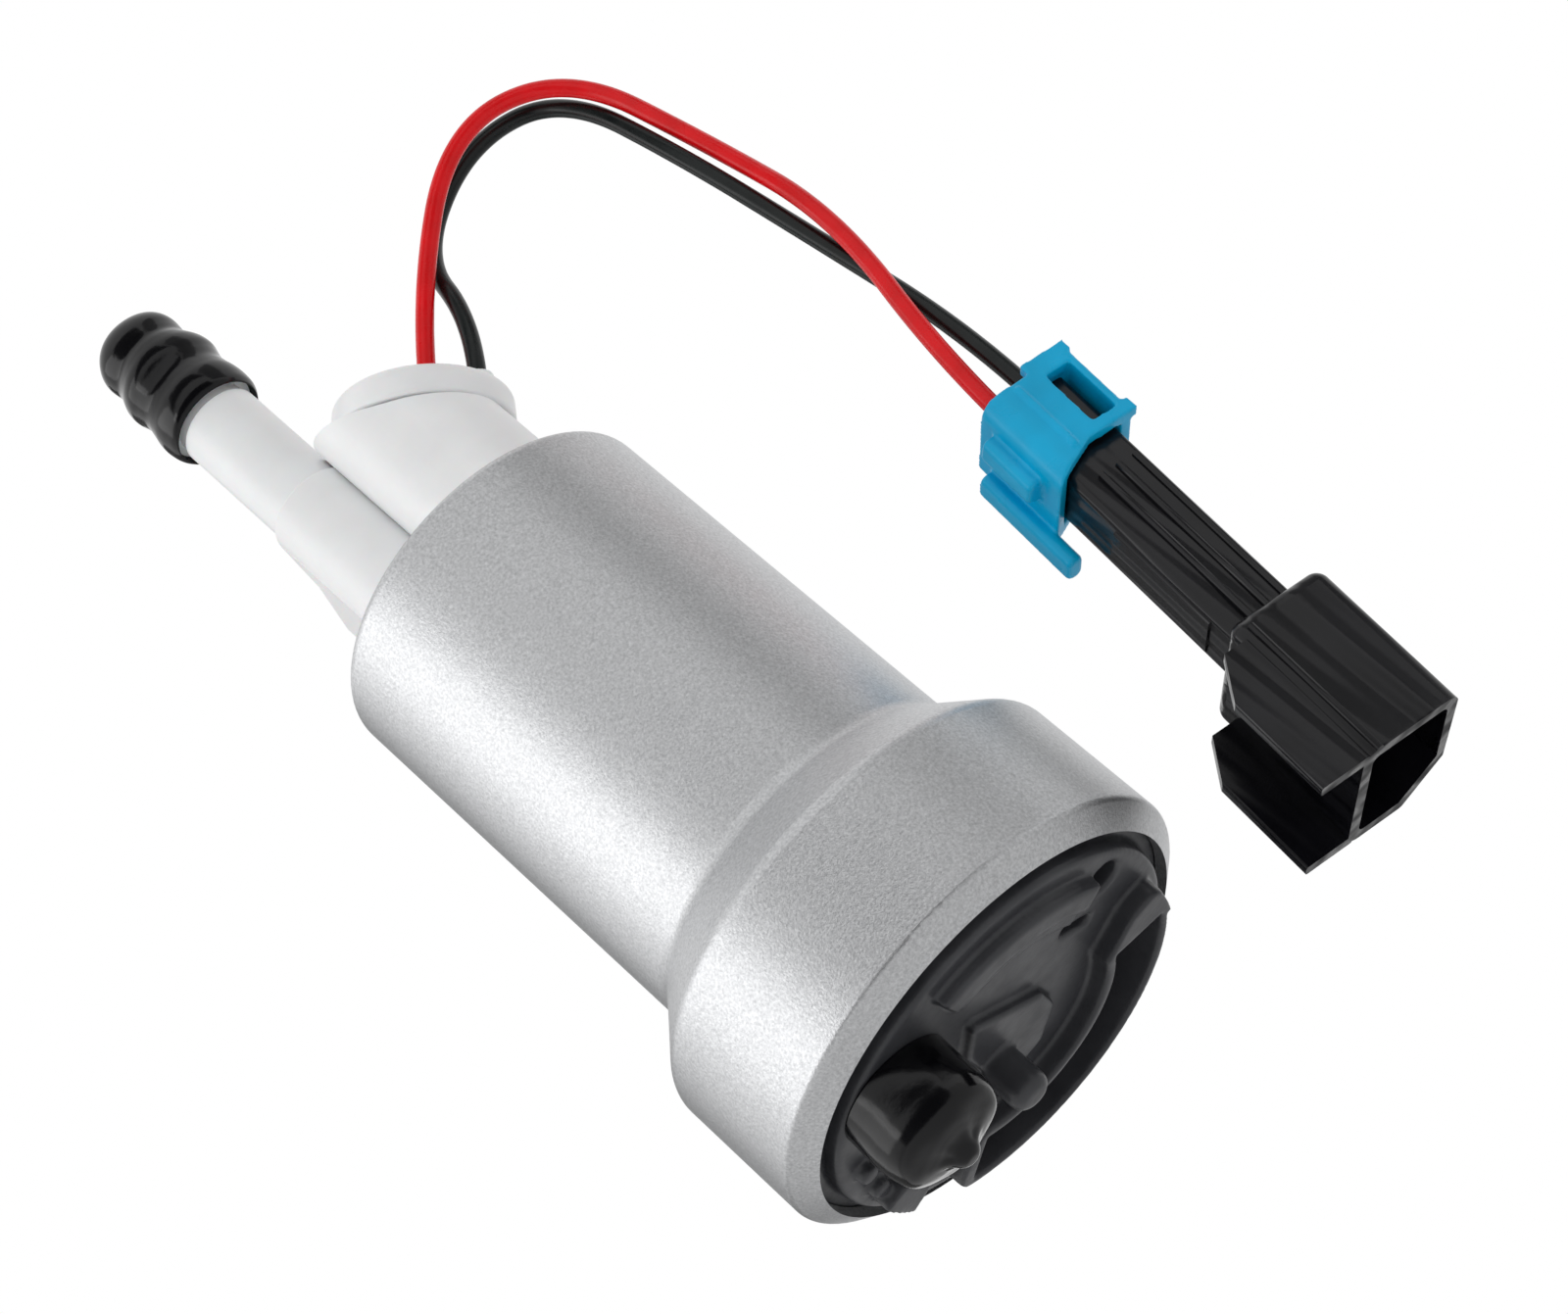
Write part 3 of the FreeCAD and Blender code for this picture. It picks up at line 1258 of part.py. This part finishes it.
make_can()
make_inlet_cover()
make_pump_plate()
make_bush("lower_bush", "lower_bush_low", "plate_top")
make_thrust_disc()
make_seal_ring()
make_impeller()
make_shaft()
make_core()
make_windings()
make_commutator()
make_flux_ring()
make_magnet("magnet_north", "0")
make_magnet("magnet_south", "180")
make_clip("magnet_clip_front", "270")
make_clip("magnet_clip_back", "90")
make_outlet_cap()
for end, side in (("front", "-1"), ("back", "1")):
    make_brush(end, side)
    make_choke(end, side)
    spring(f"brush_spring_{end}", "brush_wide / 2 - edge_round", "brush_high", "brush_room_top",
           "brush_turns", "0", f"{side} * brush_place")
make_check_valve()
spring("check_valve_spring", "valve_radius - seat_gap", "valve_seat_level + valve_shoulder + seat_gap",
       "valve_stop_low", "valve_turns", "tube_x")
make_valve_stop("check_valve_stop", "valve_stem + edge_round", "tube_bore", "valve_stop_low",
                "valve_stop_high", "tube_x")
make_relief_valve()
spring("relief_valve_spring", "ball_radius", "relief_seat_level + ball_high + edge_round", "relief_stop_low",
       "relief_turns", "relief_x", "relief_y")
make_valve_stop("relief_valve_stop", "relief_stop_hole", "relief_radius", "relief_stop_low",
                "cap_deck - edge_round", "relief_x", "relief_y")
make_bush("upper_bush", "upper_bush_low", "upper_bush_high")
for place_name, side in (("inner", "-1"), ("outer", "1")):
    make_terminal(place_name, side)
    make_plug_contact(place_name, side)
plug = make_plug()
connector = make_connector()
make_connector_blade("red", "1")
make_connector_blade("black", "-1")
make_lock()
make_outlet_dust_cap()
make_inlet_dust_cap()
cord("wire_red", wire_points("sleeve_red", "red_out", "red_in", 1, RED_MIDDLE))
cord("wire_black", wire_points("sleeve_black", "black_out", "black_in", -1, BLACK_MIDDLE))
doc.recompute()

bad = [item.Name for item in doc.Objects if "Invalid" in item.State or "Error" in item.State]
if bad:
    raise ValueError(f"objects in error: {bad}")
nodes = [item for item in doc.Objects
         if item.TypeId == "PartDesign::Body" or (item.TypeId == "Part::Feature" and not item.InListRecursive)]
for node in nodes:
    if node.Shape.isNull() or not node.Shape.isValid():
        raise ValueError(f"{node.Label} has no valid shape")
    node.Shape.exportStep(f"parts/{node.Label}.step")
print(len(nodes), "sub-parts written")
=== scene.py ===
"""Looks of an in-tank fuel pump with a two-wire lead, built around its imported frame, in metres.

The frame's origin is on the can's axis, in the middle of its clamping band; +Z goes to the outlet.
"""
import bmesh
import bpy
import math
import numpy as np
from mathutils import Matrix, Vector


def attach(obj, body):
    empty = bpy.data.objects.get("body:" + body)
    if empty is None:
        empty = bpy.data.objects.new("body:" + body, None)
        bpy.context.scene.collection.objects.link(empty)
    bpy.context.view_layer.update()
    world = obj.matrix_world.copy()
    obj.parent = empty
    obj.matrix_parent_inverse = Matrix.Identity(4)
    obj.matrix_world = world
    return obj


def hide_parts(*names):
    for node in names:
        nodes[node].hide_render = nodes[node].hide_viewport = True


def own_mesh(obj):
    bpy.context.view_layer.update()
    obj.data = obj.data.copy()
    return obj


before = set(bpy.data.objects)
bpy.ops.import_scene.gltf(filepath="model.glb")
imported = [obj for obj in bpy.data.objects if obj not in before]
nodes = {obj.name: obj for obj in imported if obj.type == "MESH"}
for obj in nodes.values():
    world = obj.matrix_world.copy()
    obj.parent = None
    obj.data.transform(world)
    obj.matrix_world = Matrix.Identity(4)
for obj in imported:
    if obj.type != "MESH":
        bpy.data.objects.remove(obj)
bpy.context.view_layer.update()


# Camera: it stands below and in front of the inlet end and looks up along the can, rolled so that
# the outlet comes to the upper left of the picture.
def add(name, data):
    """A new object in the scene, at the origin."""
    made = bpy.data.objects.new(name, data)
    bpy.context.collection.objects.link(made)
    return made


eye = Vector((0, -0.3147, -0.1678))
picture_right = Vector((0.6595, 0.3215, -0.6795))
picture_down = Vector((-0.7507, 0.3273, -0.5738))
picture_back = picture_down.cross(picture_right)
camera_data = bpy.data.cameras.new("picture")
camera_data.sensor_width = 36
camera_data.lens = 83.0
camera_data.clip_start = 0.01
camera = add("picture", camera_data)
turn = Matrix((picture_right, -picture_down, picture_back)).transposed()
camera.matrix_world = Matrix.Translation(eye) @ turn.to_4x4()
bpy.context.scene.camera = camera
bpy.context.scene.view_settings.view_transform = "Standard"


# Studio: a white room seen by the camera and by mirror-like surfaces, three soft boxes, four grey
# cards seen only in shiny surfaces, and a floor well below the pump, which hangs as in its clamp.
room_level = 0.72
floor_level = -0.2
floor_reach = 3.0


def node(tree, kind, inputs=(), **settings):
    """Add a shader node, set it up, and link or set its inputs."""
    made = tree.nodes.new(f"ShaderNode{kind}")
    for key, value in settings.items():
        setattr(made, key, value)
    for socket, source in dict(inputs).items():
        if isinstance(source, bpy.types.NodeSocket):
            tree.links.new(source, made.inputs[socket])
        else:
            made.inputs[socket].default_value = source
    return made


def white_to_the_eye(tree, unseen):
    """1 for rays from the camera and mirror rays, and the given level for rays that light things."""
    rays = node(tree, "LightPath")
    seen = node(tree, "Math", {0: rays.outputs["Is Camera Ray"], 1: rays.outputs["Is Glossy Ray"]},
                operation="MAXIMUM")
    seen = node(tree, "Math", {0: seen.outputs[0], 1: rays.outputs["Is Transmission Ray"]},
                operation="MAXIMUM")
    return node(tree, "Mix", {"Factor": seen.outputs[0], "A": unseen, "B": 1.0}).outputs["Result"]


world = bpy.data.worlds.new("white_room")
bpy.context.scene.world = world
world.use_nodes = True
backdrop = world.node_tree.nodes["Background"]
backdrop.inputs["Color"].default_value = (1, 1, 1, 1)
world.node_tree.links.new(white_to_the_eye(world.node_tree, room_level), backdrop.inputs["Strength"])


def soft_box(name, place, aim, size, power):
    """A square lamp at a place, turned to face a point."""
    lamp = bpy.data.lights.new(name, "AREA")
    lamp.shape = "SQUARE"
    lamp.size = size
    lamp.energy = power
    holder = add(name, lamp)
    holder.location = place
    holder.rotation_euler = (Vector(aim) - Vector(place)).to_track_quat("-Z", "Y").to_euler()


soft_box("key", place=(-0.72, -0.22, 0.42), aim=(0, 0, 0.02), size=0.6, power=1.4)
soft_box("low", place=(-0.35, -0.5, -0.5), aim=(0, 0, -0.04), size=0.25, power=0.4)
soft_box("left_spark", place=(-0.6, -0.5, 0.2), aim=(0, 0, 0), size=0.2, power=0.3)


def panel(name, middle, across, up, grey, roughness=0.5):
    """A flat grey panel that reaches from its middle by across and up, to both sides."""
    middle, across, up = Vector(middle), Vector(across), Vector(up)
    mesh = bpy.data.meshes.new(name)
    mesh.from_pydata([middle + i * across + j * up for i, j in ((-1, -1), (1, -1), (1, 1), (-1, 1))], [],
                     [(0, 1, 2, 3)])
    paint = bpy.data.materials.new(name)
    paint.use_nodes = True
    shader = paint.node_tree.nodes["Principled BSDF"]
    shader.inputs["Base Color"].default_value = (grey, grey, grey, 1)
    shader.inputs["Roughness"].default_value = roughness
    mesh.materials.append(paint)
    return add(name, mesh)


cards = [panel("right_card", (0.6, -0.2, 0.36), across=(0, 0.2, 0), up=(-0.1, 0, 0.25), grey=0.42),
         panel("left_card", (-0.3, 0.45, 0.15), across=(0.16, 0.06, 0), up=(0, 0, 0.3), grey=0.15),
         panel("camera_card", eye * 1.6, across=(0.9, 0, 0), up=(0, -0.235, 0.44), grey=0.01),
         panel("upper_card", (0, -0.13, 0.215), across=(0.13, 0, 0), up=(0, -0.03, 0.087), grey=0.01)]
for card in cards:
    card.visible_camera = False
    card.visible_shadow = False
    card.visible_diffuse = False
floor = panel("floor", (0, 0, floor_level), across=(floor_reach, 0, 0), up=(0, floor_reach, 0), grey=0.86,
              roughness=0.9)


# Inner working pieces: the motor, impeller, valves and contacts. They stand inside the can and its
# cap, and show only in a bore or when the plug is off.
def finish(name, colour, roughness, **sockets):
    """A new finish: constants go on the shader's own sockets. Returns it with its tree and shader."""
    made = bpy.data.materials.new(name)
    made.use_nodes = True
    shader = made.node_tree.nodes["Principled BSDF"]
    shader.inputs["Base Color"].default_value = (*colour, 1)
    shader.inputs["Roughness"].default_value = roughness
    for socket, value in sockets.items():
        shader.inputs[socket.replace("_", " ")].default_value = value
    return made, made.node_tree, shader


def grain(tree, size, detail=2.0, roughness=0.5, stretch=(1, 1, 1)):
    """Noise on Object coordinates with features of the given size in metres."""
    where = node(tree, "TexCoord").outputs["Object"]
    scaled = node(tree, "Mapping", {"Vector": where, "Scale": stretch})
    return node(tree, "TexNoise", {"Vector": scaled.outputs[0], "Scale": 1 / size, "Detail": detail,
                                   "Roughness": roughness}).outputs["Fac"]


def between(tree, source, low, high):
    """Map a 0 to 1 value, taken between 0.3 and 0.7, to a range."""
    return node(tree, "MapRange", {"Value": source, "From Min": 0.3, "From Max": 0.7, "To Min": low,
                                   "To Max": high}).outputs["Result"]


def tint(tree, shader, source, dark, light):
    """Blend the base colour between two colours by a 0 to 1 value."""
    mixed = node(tree, "Mix", {"Factor": between(tree, source, 0, 1), "A": (*dark, 1), "B": (*light, 1)},
                 data_type="RGBA")
    tree.links.new(mixed.outputs["Result"], shader.inputs["Base Color"])


def dull(tree, shader, source, low, high):
    """Vary the roughness between two levels by a 0 to 1 value."""
    tree.links.new(between(tree, source, low, high), shader.inputs["Roughness"])


def dimple(tree, shader, source, depth):
    """Raise the surface by a height map, with the given depth in metres."""
    made = node(tree, "Bump", {"Height": source, "Distance": depth})
    tree.links.new(made.outputs[0], shader.inputs["Normal"])


def dress(material, *names):
    """Give CAD nodes a finish of their own."""
    for name in names:
        nodes[name].data.materials.clear()
        nodes[name].data.materials.append(material)


def metal(name, dark, light, roughness, size=0.0006, depth=0.00002):
    """A metal with fine grain in its colour, roughness and surface."""
    made, tree, shader = finish(name, light, roughness, Metallic=1.0)
    tint(tree, shader, grain(tree, size * 6, 4), dark, light)
    dull(tree, shader, grain(tree, size * 3), roughness * 0.8, roughness * 1.2)
    dimple(tree, shader, grain(tree, size, 3), depth)
    return made


def plastic(name, dark, light, roughness, size=0.0005, depth=0.00002, shine=0.5):
    """A moulded plastic with slight mottling and a fine skin."""
    made, tree, shader = finish(name, light, roughness, Specular_IOR_Level=shine)
    tint(tree, shader, grain(tree, size * 12, 3), dark, light)
    dull(tree, shader, grain(tree, size * 5), roughness * 0.85, roughness * 1.2)
    dimple(tree, shader, grain(tree, size, 3), depth)
    return made


dress(metal("ground_steel", (0.4, 0.4, 0.42), (0.62, 0.63, 0.65), 0.25),
      "shaft", "thrust_disc", "magnet_clip_front", "magnet_clip_back")
dress(metal("core_steel", (0.2, 0.2, 0.22), (0.34, 0.35, 0.37), 0.4),
      "armature_core", "flux_ring")
dress(metal("enamelled_copper", (0.42, 0.13, 0.04), (0.62, 0.24, 0.1), 0.3),
      "windings")
dress(metal("turned_copper", (0.6, 0.28, 0.16), (0.75, 0.4, 0.25), 0.25),
      "commutator")
dress(metal("sintered_bronze", (0.38, 0.25, 0.12), (0.55, 0.4, 0.22), 0.5),
      "lower_bush", "upper_bush", "relief_valve", "relief_valve_stop")
dress(metal("tinned_brass", (0.62, 0.6, 0.54), (0.78, 0.77, 0.72), 0.3),
      "terminal_inner", "terminal_outer", "plug_contact_inner", "plug_contact_outer",
      "connector_blade_red", "connector_blade_black")
dress(plastic("ferrite", (0.05, 0.05, 0.055), (0.1, 0.1, 0.11), 0.6),
      "magnet_north", "magnet_south", "choke_front", "choke_back", "brush_front", "brush_back")
dress(plastic("impeller_plastic", (0.06, 0.04, 0.03), (0.1, 0.07, 0.05), 0.5),
      "impeller", "check_valve")
dress(plastic("seal_rubber", (0.01, 0.01, 0.01), (0.03, 0.03, 0.03), 0.6),
      "seal_ring")


# Springs: hard-drawn steel wire, wound and ground flat. Each stands between a moving piece and its
# seat above it.
spring_wire = metal("spring_wire", (0.5, 0.5, 0.52), (0.72, 0.72, 0.74), 0.2)
for name, joint, travel in (("check_valve_spring", "check_valve_lift", 0.0026),
                            ("relief_valve_spring", "relief_valve_lift", 0.0015),
                            ("brush_spring_front", "brush_front_slide", 0.0025),
                            ("brush_spring_back", "brush_back_slide", 0.0025)):
    coil = add(f"{name}_coil", nodes[name].data.copy())
    coil.data.materials.clear()
    coil.data.materials.append(spring_wire)
    places = np.empty(3 * len(coil.data.vertices))
    coil.data.vertices.foreach_get("co", places)
    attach(coil, "pump")
    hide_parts(name)
    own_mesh(coil)


# Can: deep-drawn steel with a sandy, satin zinc coat. Its lip is crimped over the inlet cover.
satin_zinc, tree, shader = finish("satin_zinc", (0.54, 0.54, 0.545), 0.41, Metallic=1.0)
tint(tree, shader, grain(tree, 0.0003, 4, 0.7), (0.41, 0.415, 0.425), (0.67, 0.675, 0.685))
dimple(tree, shader, grain(tree, 0.00025, 3, 0.6), 0.00004)
dress(satin_zinc, "can_shell")


# Inlet cover and pump plate: filled black plastic that has gone grey on its moulded face.
# The cover closes the can's wide end, and the plate lies behind it, over the impeller.
cover_plastic = plastic("cover_plastic", (0.026, 0.027, 0.031), (0.042, 0.043, 0.048), 0.38, shine=0.4)
dress(cover_plastic, "pump_plate")


def moulded(name, body, material, voxel, rounds):
    """A copy of a CAD node as one even skin, its edges eased as a mould eases them.

    Each round moves every point half of the way to the mean of its neighbours.
    """
    made = add(f"{name}_moulding", nodes[name].data.copy())
    made.data.materials.clear()
    made.data.materials.append(material)
    skin = made.modifiers.new("even_skin", "REMESH")
    skin.mode = "VOXEL"
    skin.voxel_size = voxel
    skin.use_smooth_shade = True
    easing = made.modifiers.new("eased_edges", "SMOOTH")
    easing.factor = 0.5
    easing.iterations = rounds
    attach(made, body)
    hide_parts(name)
    return made


moulded("inlet_cover", "pump", cover_plastic, voxel=0.00028, rounds=5)


# Outlet cap, check valve stop and the lead's plug: white acetal with a soft, slightly waxy skin.
# The cap closes the can's narrow end, and the plug is pressed into its slanted tower.
acetal, tree, shader = finish("white_acetal", (0.88, 0.885, 0.89), 0.38, Subsurface_Weight=0.15,
                              Subsurface_Scale=0.002)
tint(tree, shader, grain(tree, 0.006, 3), (0.88, 0.885, 0.89), (0.93, 0.935, 0.94))
dimple(tree, shader, grain(tree, 0.0008, 3), 0.00003)
dress(acetal, "outlet_cap", "check_valve_stop")
moulded("lead_plug", "lead", acetal, voxel=0.0002, rounds=4)


# Lead wires: red and black stranded copper in glossy insulation. They leave their sleeves on the
# plug, arch over beside the can and go down into the connector's stem.
wire_radius = 0.001
red_route = [(0.01083, 0, 0.04633), (0.01717, 0, 0.05445), (0.0332, -0.00197, 0.06528),
             (0.0462, 0.00006, 0.06001), (0.0495, 0.00148, 0.04134), (0.051, -0.0014, 0.02237),
             (0.04622, -0.00082, 0.00245), (0.04516, -0.00082, -0.0085)]
black_route = [(0.01525, 0, 0.04289), (0.01925, 0, 0.04801), (0.02125, 0.00303, 0.06032),
               (0.0339, 0.00343, 0.06602), (0.04435, 0.00246, 0.06023), (0.0466, 0.0002, 0.0416),
               (0.04835, 0.00156, 0.02525), (0.05009, 0.00082, 0.00238), (0.04901, 0.00082, -0.00887)]


def insulation(name, dark, light):
    """Glossy extruded insulation, a little uneven along the wire."""
    made, tree, shader = finish(name, light, 0.28, Specular_IOR_Level=0.3)
    tint(tree, shader, grain(tree, 0.004), dark, light)
    dull(tree, shader, grain(tree, 0.0025), 0.2, 0.34)
    dimple(tree, shader, grain(tree, 0.0011, 3), 0.00001)
    return made


def run_wire(name, route, material):
    """A smooth NURBS tube along the route's points, which are its control points."""
    curve = bpy.data.curves.new(name, "CURVE")
    curve.dimensions = "3D"
    spline = curve.splines.new("NURBS")
    spline.points.add(len(route) - 1)
    spline.points.foreach_set("co", np.hstack([route, np.ones((len(route), 1))]).ravel())
    spline.order_u = 3
    spline.use_endpoint_u = True
    spline.resolution_u = 24
    curve.bevel_depth = wire_radius
    curve.bevel_resolution = 6
    curve.use_fill_caps = True
    curve.materials.append(material)
    return add(name, curve)


red = run_wire("red_wire", red_route,
               insulation("red_insulation", (0.68, 0.002, 0.004), (0.84, 0.003, 0.008)))
black = run_wire("black_wire", black_route,
                 insulation("black_insulation", (0.002, 0.004, 0.004), (0.006, 0.009, 0.009)))
for wire, colour in ((red, "red"), (black, "black")):
    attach(wire, "lead")
    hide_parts(f"wire_{colour}")


# Connector and its lock: a black moulded housing and a blue slide that snaps over its stem. Their
# mould rounds every edge a little, and the edges catch the light.
edge_width = 0.0003
long_edge = 24 * edge_width
sharp_turn = math.radians(32)
flat_turn = math.radians(0.5)
shape = bmesh.new()
shape.from_mesh(nodes["connector_housing"].data)
bmesh.ops.remove_doubles(shape, verts=shape.verts, dist=1e-6)
bmesh.ops.dissolve_limit(shape, angle_limit=flat_turn, verts=shape.verts, edges=shape.edges)
outer_edges = [edge for edge in shape.edges if edge.is_manifold and edge.calc_length() > long_edge
               and edge.calc_face_angle_signed() > sharp_turn]
bmesh.ops.bevel(shape, geom=outer_edges, offset=edge_width, segments=3, profile=0.5, affect="EDGES")
housing_mesh = bpy.data.meshes.new("connector_housing_eased")
shape.to_mesh(housing_mesh)
shape.free()

# The housing's skin is drawn out along the stem, where the melt ran and sank behind the ribs.
ran = (1, 1, 0.05)
black_housing, tree, shader = finish("connector_plastic", (0.006, 0.006, 0.008), 0.18,
                                     Specular_IOR_Level=0.36)
tint(tree, shader, grain(tree, 0.006, 3), (0.002, 0.002, 0.003), (0.005, 0.005, 0.007))
dull(tree, shader, grain(tree, 0.004, stretch=ran), 0.13, 0.26)
dimple(tree, shader, grain(tree, 0.0032, 1, stretch=ran), 0.0011)
housing_mesh.materials.append(black_housing)
housing = add("connector_housing_eased", housing_mesh)
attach(housing, "lead")
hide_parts("connector_housing")
blue_slide = plastic("lock_plastic", (0.0, 0.39, 0.68), (0.0, 0.46, 0.8), 0.3, shine=0.3)
lock = moulded("connector_lock", "connector_lock", blue_slide, voxel=0.0002, rounds=4)


# Dust caps: black vinyl skins, dipped and then stretched over the outlet's barbs and the inlet's
# spigot, so that they are wavy, a little dented and very glossy. Their sizes are in millimetres.
millimetres = 1000
cap_rows = 90
cap_columns = 120
calm_radius = 1.5
calm_height = 1.2
vinyl = plastic("black_vinyl", (0.001, 0.001, 0.0015), (0.003, 0.003, 0.004), 0.16, size=0.0015,
                depth=0.00003, shine=0.3)


def stretched_cap(name, middle, outside, inside, wave):
    """A skin turned about an upright line, closed at both poles.

    outside and inside list radius and height from the mouth to the pole. A cubic that keeps each
    point's slope joins the outside's points. The wave, a function of angle and height, is added to
    the outside's radius, and fades out by the axis and over the lowest part.
    """
    outside = np.array(outside, float)
    inner = np.array(inside, float)[::-1]
    run = np.concatenate([[0], np.cumsum(np.hypot(*np.diff(outside, axis=0).T))])
    slope = np.gradient(outside, run, axis=0)
    where = np.linspace(0, run[-1], cap_rows)
    piece = np.clip(np.searchsorted(run, where, side="right") - 1, 0, len(run) - 2)
    span = np.diff(run)[piece, None]
    t = (where - run[piece])[:, None] / span
    outer = ((2 * t**3 - 3 * t**2 + 1) * outside[piece] + (t**3 - 2 * t**2 + t) * span * slope[piece]
             + (3 * t**2 - 2 * t**3) * outside[piece + 1] + (t**3 - t**2) * span * slope[piece + 1])
    profile = np.vstack([inner, outer])
    angle = np.linspace(0, 2 * np.pi, cap_columns, endpoint=False)[None, :]
    radius, height = profile[:, :1], profile[:, 1:]
    pushed = wave(angle, height) * np.clip(radius / calm_radius, 0, 1)
    pushed *= np.clip((height - height.min()) / calm_height, 0, 1)
    pushed[:len(inner)] = 0
    radius = radius + pushed
    points = np.stack([middle[0] + radius * np.cos(angle), middle[1] + radius * np.sin(angle),
                       height + 0 * angle], -1) / millimetres
    rings = points[1:-1].reshape(-1, 3)
    corner = np.arange(len(rings)).reshape(-1, cap_columns)
    low, high = corner[:-1], corner[1:]
    quads = np.stack([low, np.roll(low, -1, 1), np.roll(high, -1, 1), high], -1).reshape(-1, 4)
    first, last = corner[0], corner[-1]
    inner_pole = np.stack([np.roll(first, -1), first, np.full(cap_columns, len(rings))], -1)
    outer_pole = np.stack([last, np.roll(last, -1), np.full(cap_columns, len(rings) + 1)], -1)
    mesh = bpy.data.meshes.new(name)
    mesh.from_pydata(np.vstack([rings, points[0].mean(0), points[-1].mean(0)]).tolist(), [],
                     quads.tolist() + inner_pole.tolist() + outer_pole.tolist())
    return mesh


def put_cap(name, mesh):
    """Point the mesh's faces out and put it in its CAD node's place."""
    work = bmesh.new()
    work.from_mesh(mesh)
    bmesh.ops.recalc_face_normals(work, faces=work.faces)
    work.to_mesh(mesh)
    work.free()
    mesh.shade_smooth()
    mesh.materials.append(vinyl)
    made = add(f"{name}_skin", mesh)
    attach(made, name)
    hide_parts(name)


def near(height, level, reach):
    """1 at a level, and falling away from it as a bell curve."""
    return np.exp(-((height - level) / reach) ** 2)


outlet_tube = (-6.4, 0)
outlet_outside = [(5.27, 63.5), (5.62, 64.1), (5.86, 65.2), (5.86, 66.4), (5.6, 67.7), (5.42, 68.9),
                  (5.6, 70.2), (5.85, 71.4), (5.78, 72.4), (5.4, 73.6), (5.02, 74.7), (5.08, 75.8),
                  (5.1, 76.8), (4.8, 78.0), (4.1, 79.1), (3.0, 79.9), (1.5, 80.3), (0, 80.4)]
outlet_inside = [(5.2, 63.5), (5.2, 70.6), (4.3, 74.4), (4.3, 77.9), (3.7, 78.55), (2, 78.55), (0, 78.55)]
put_cap("outlet_dust_cap", stretched_cap(
    "outlet_dust_cap_skin", outlet_tube, outlet_outside, outlet_inside,
    lambda angle, height: 0.1 * np.sin(2 * angle + 0.9 * height) * near(height, 74.8, 2.4)
    + 0.07 * np.sin(3 * angle - 0.7 * height + 1)))

inlet_spigot = (-10.2, -11.2)
inlet_outside = [(6.22, -48.75), (6.24, -50.5), (6.24, -53.0), (6.1, -54.6), (5.6, -55.9), (4.6, -56.6),
                 (3.4, -57.0), (2.4, -57.3), (1.7, -57.75), (1.3, -58.3), (0.8, -58.7), (0, -58.8)]
inlet_inside = [(5.6, -48.75), (5.6, -54.5), (5.3, -54.82), (2.5, -54.82), (0, -54.82)]
put_cap("inlet_dust_cap", stretched_cap(
    "inlet_dust_cap_skin", inlet_spigot, inlet_outside, inlet_inside,
    lambda angle, height: 0.34 * np.sin(4 * angle + 0.8) * near(height, -56.7, 0.55)
    + 0.12 * np.sin(7 * angle + 2) * near(height, -57.3, 0.5) + 0.05 * np.sin(3 * angle + height)))
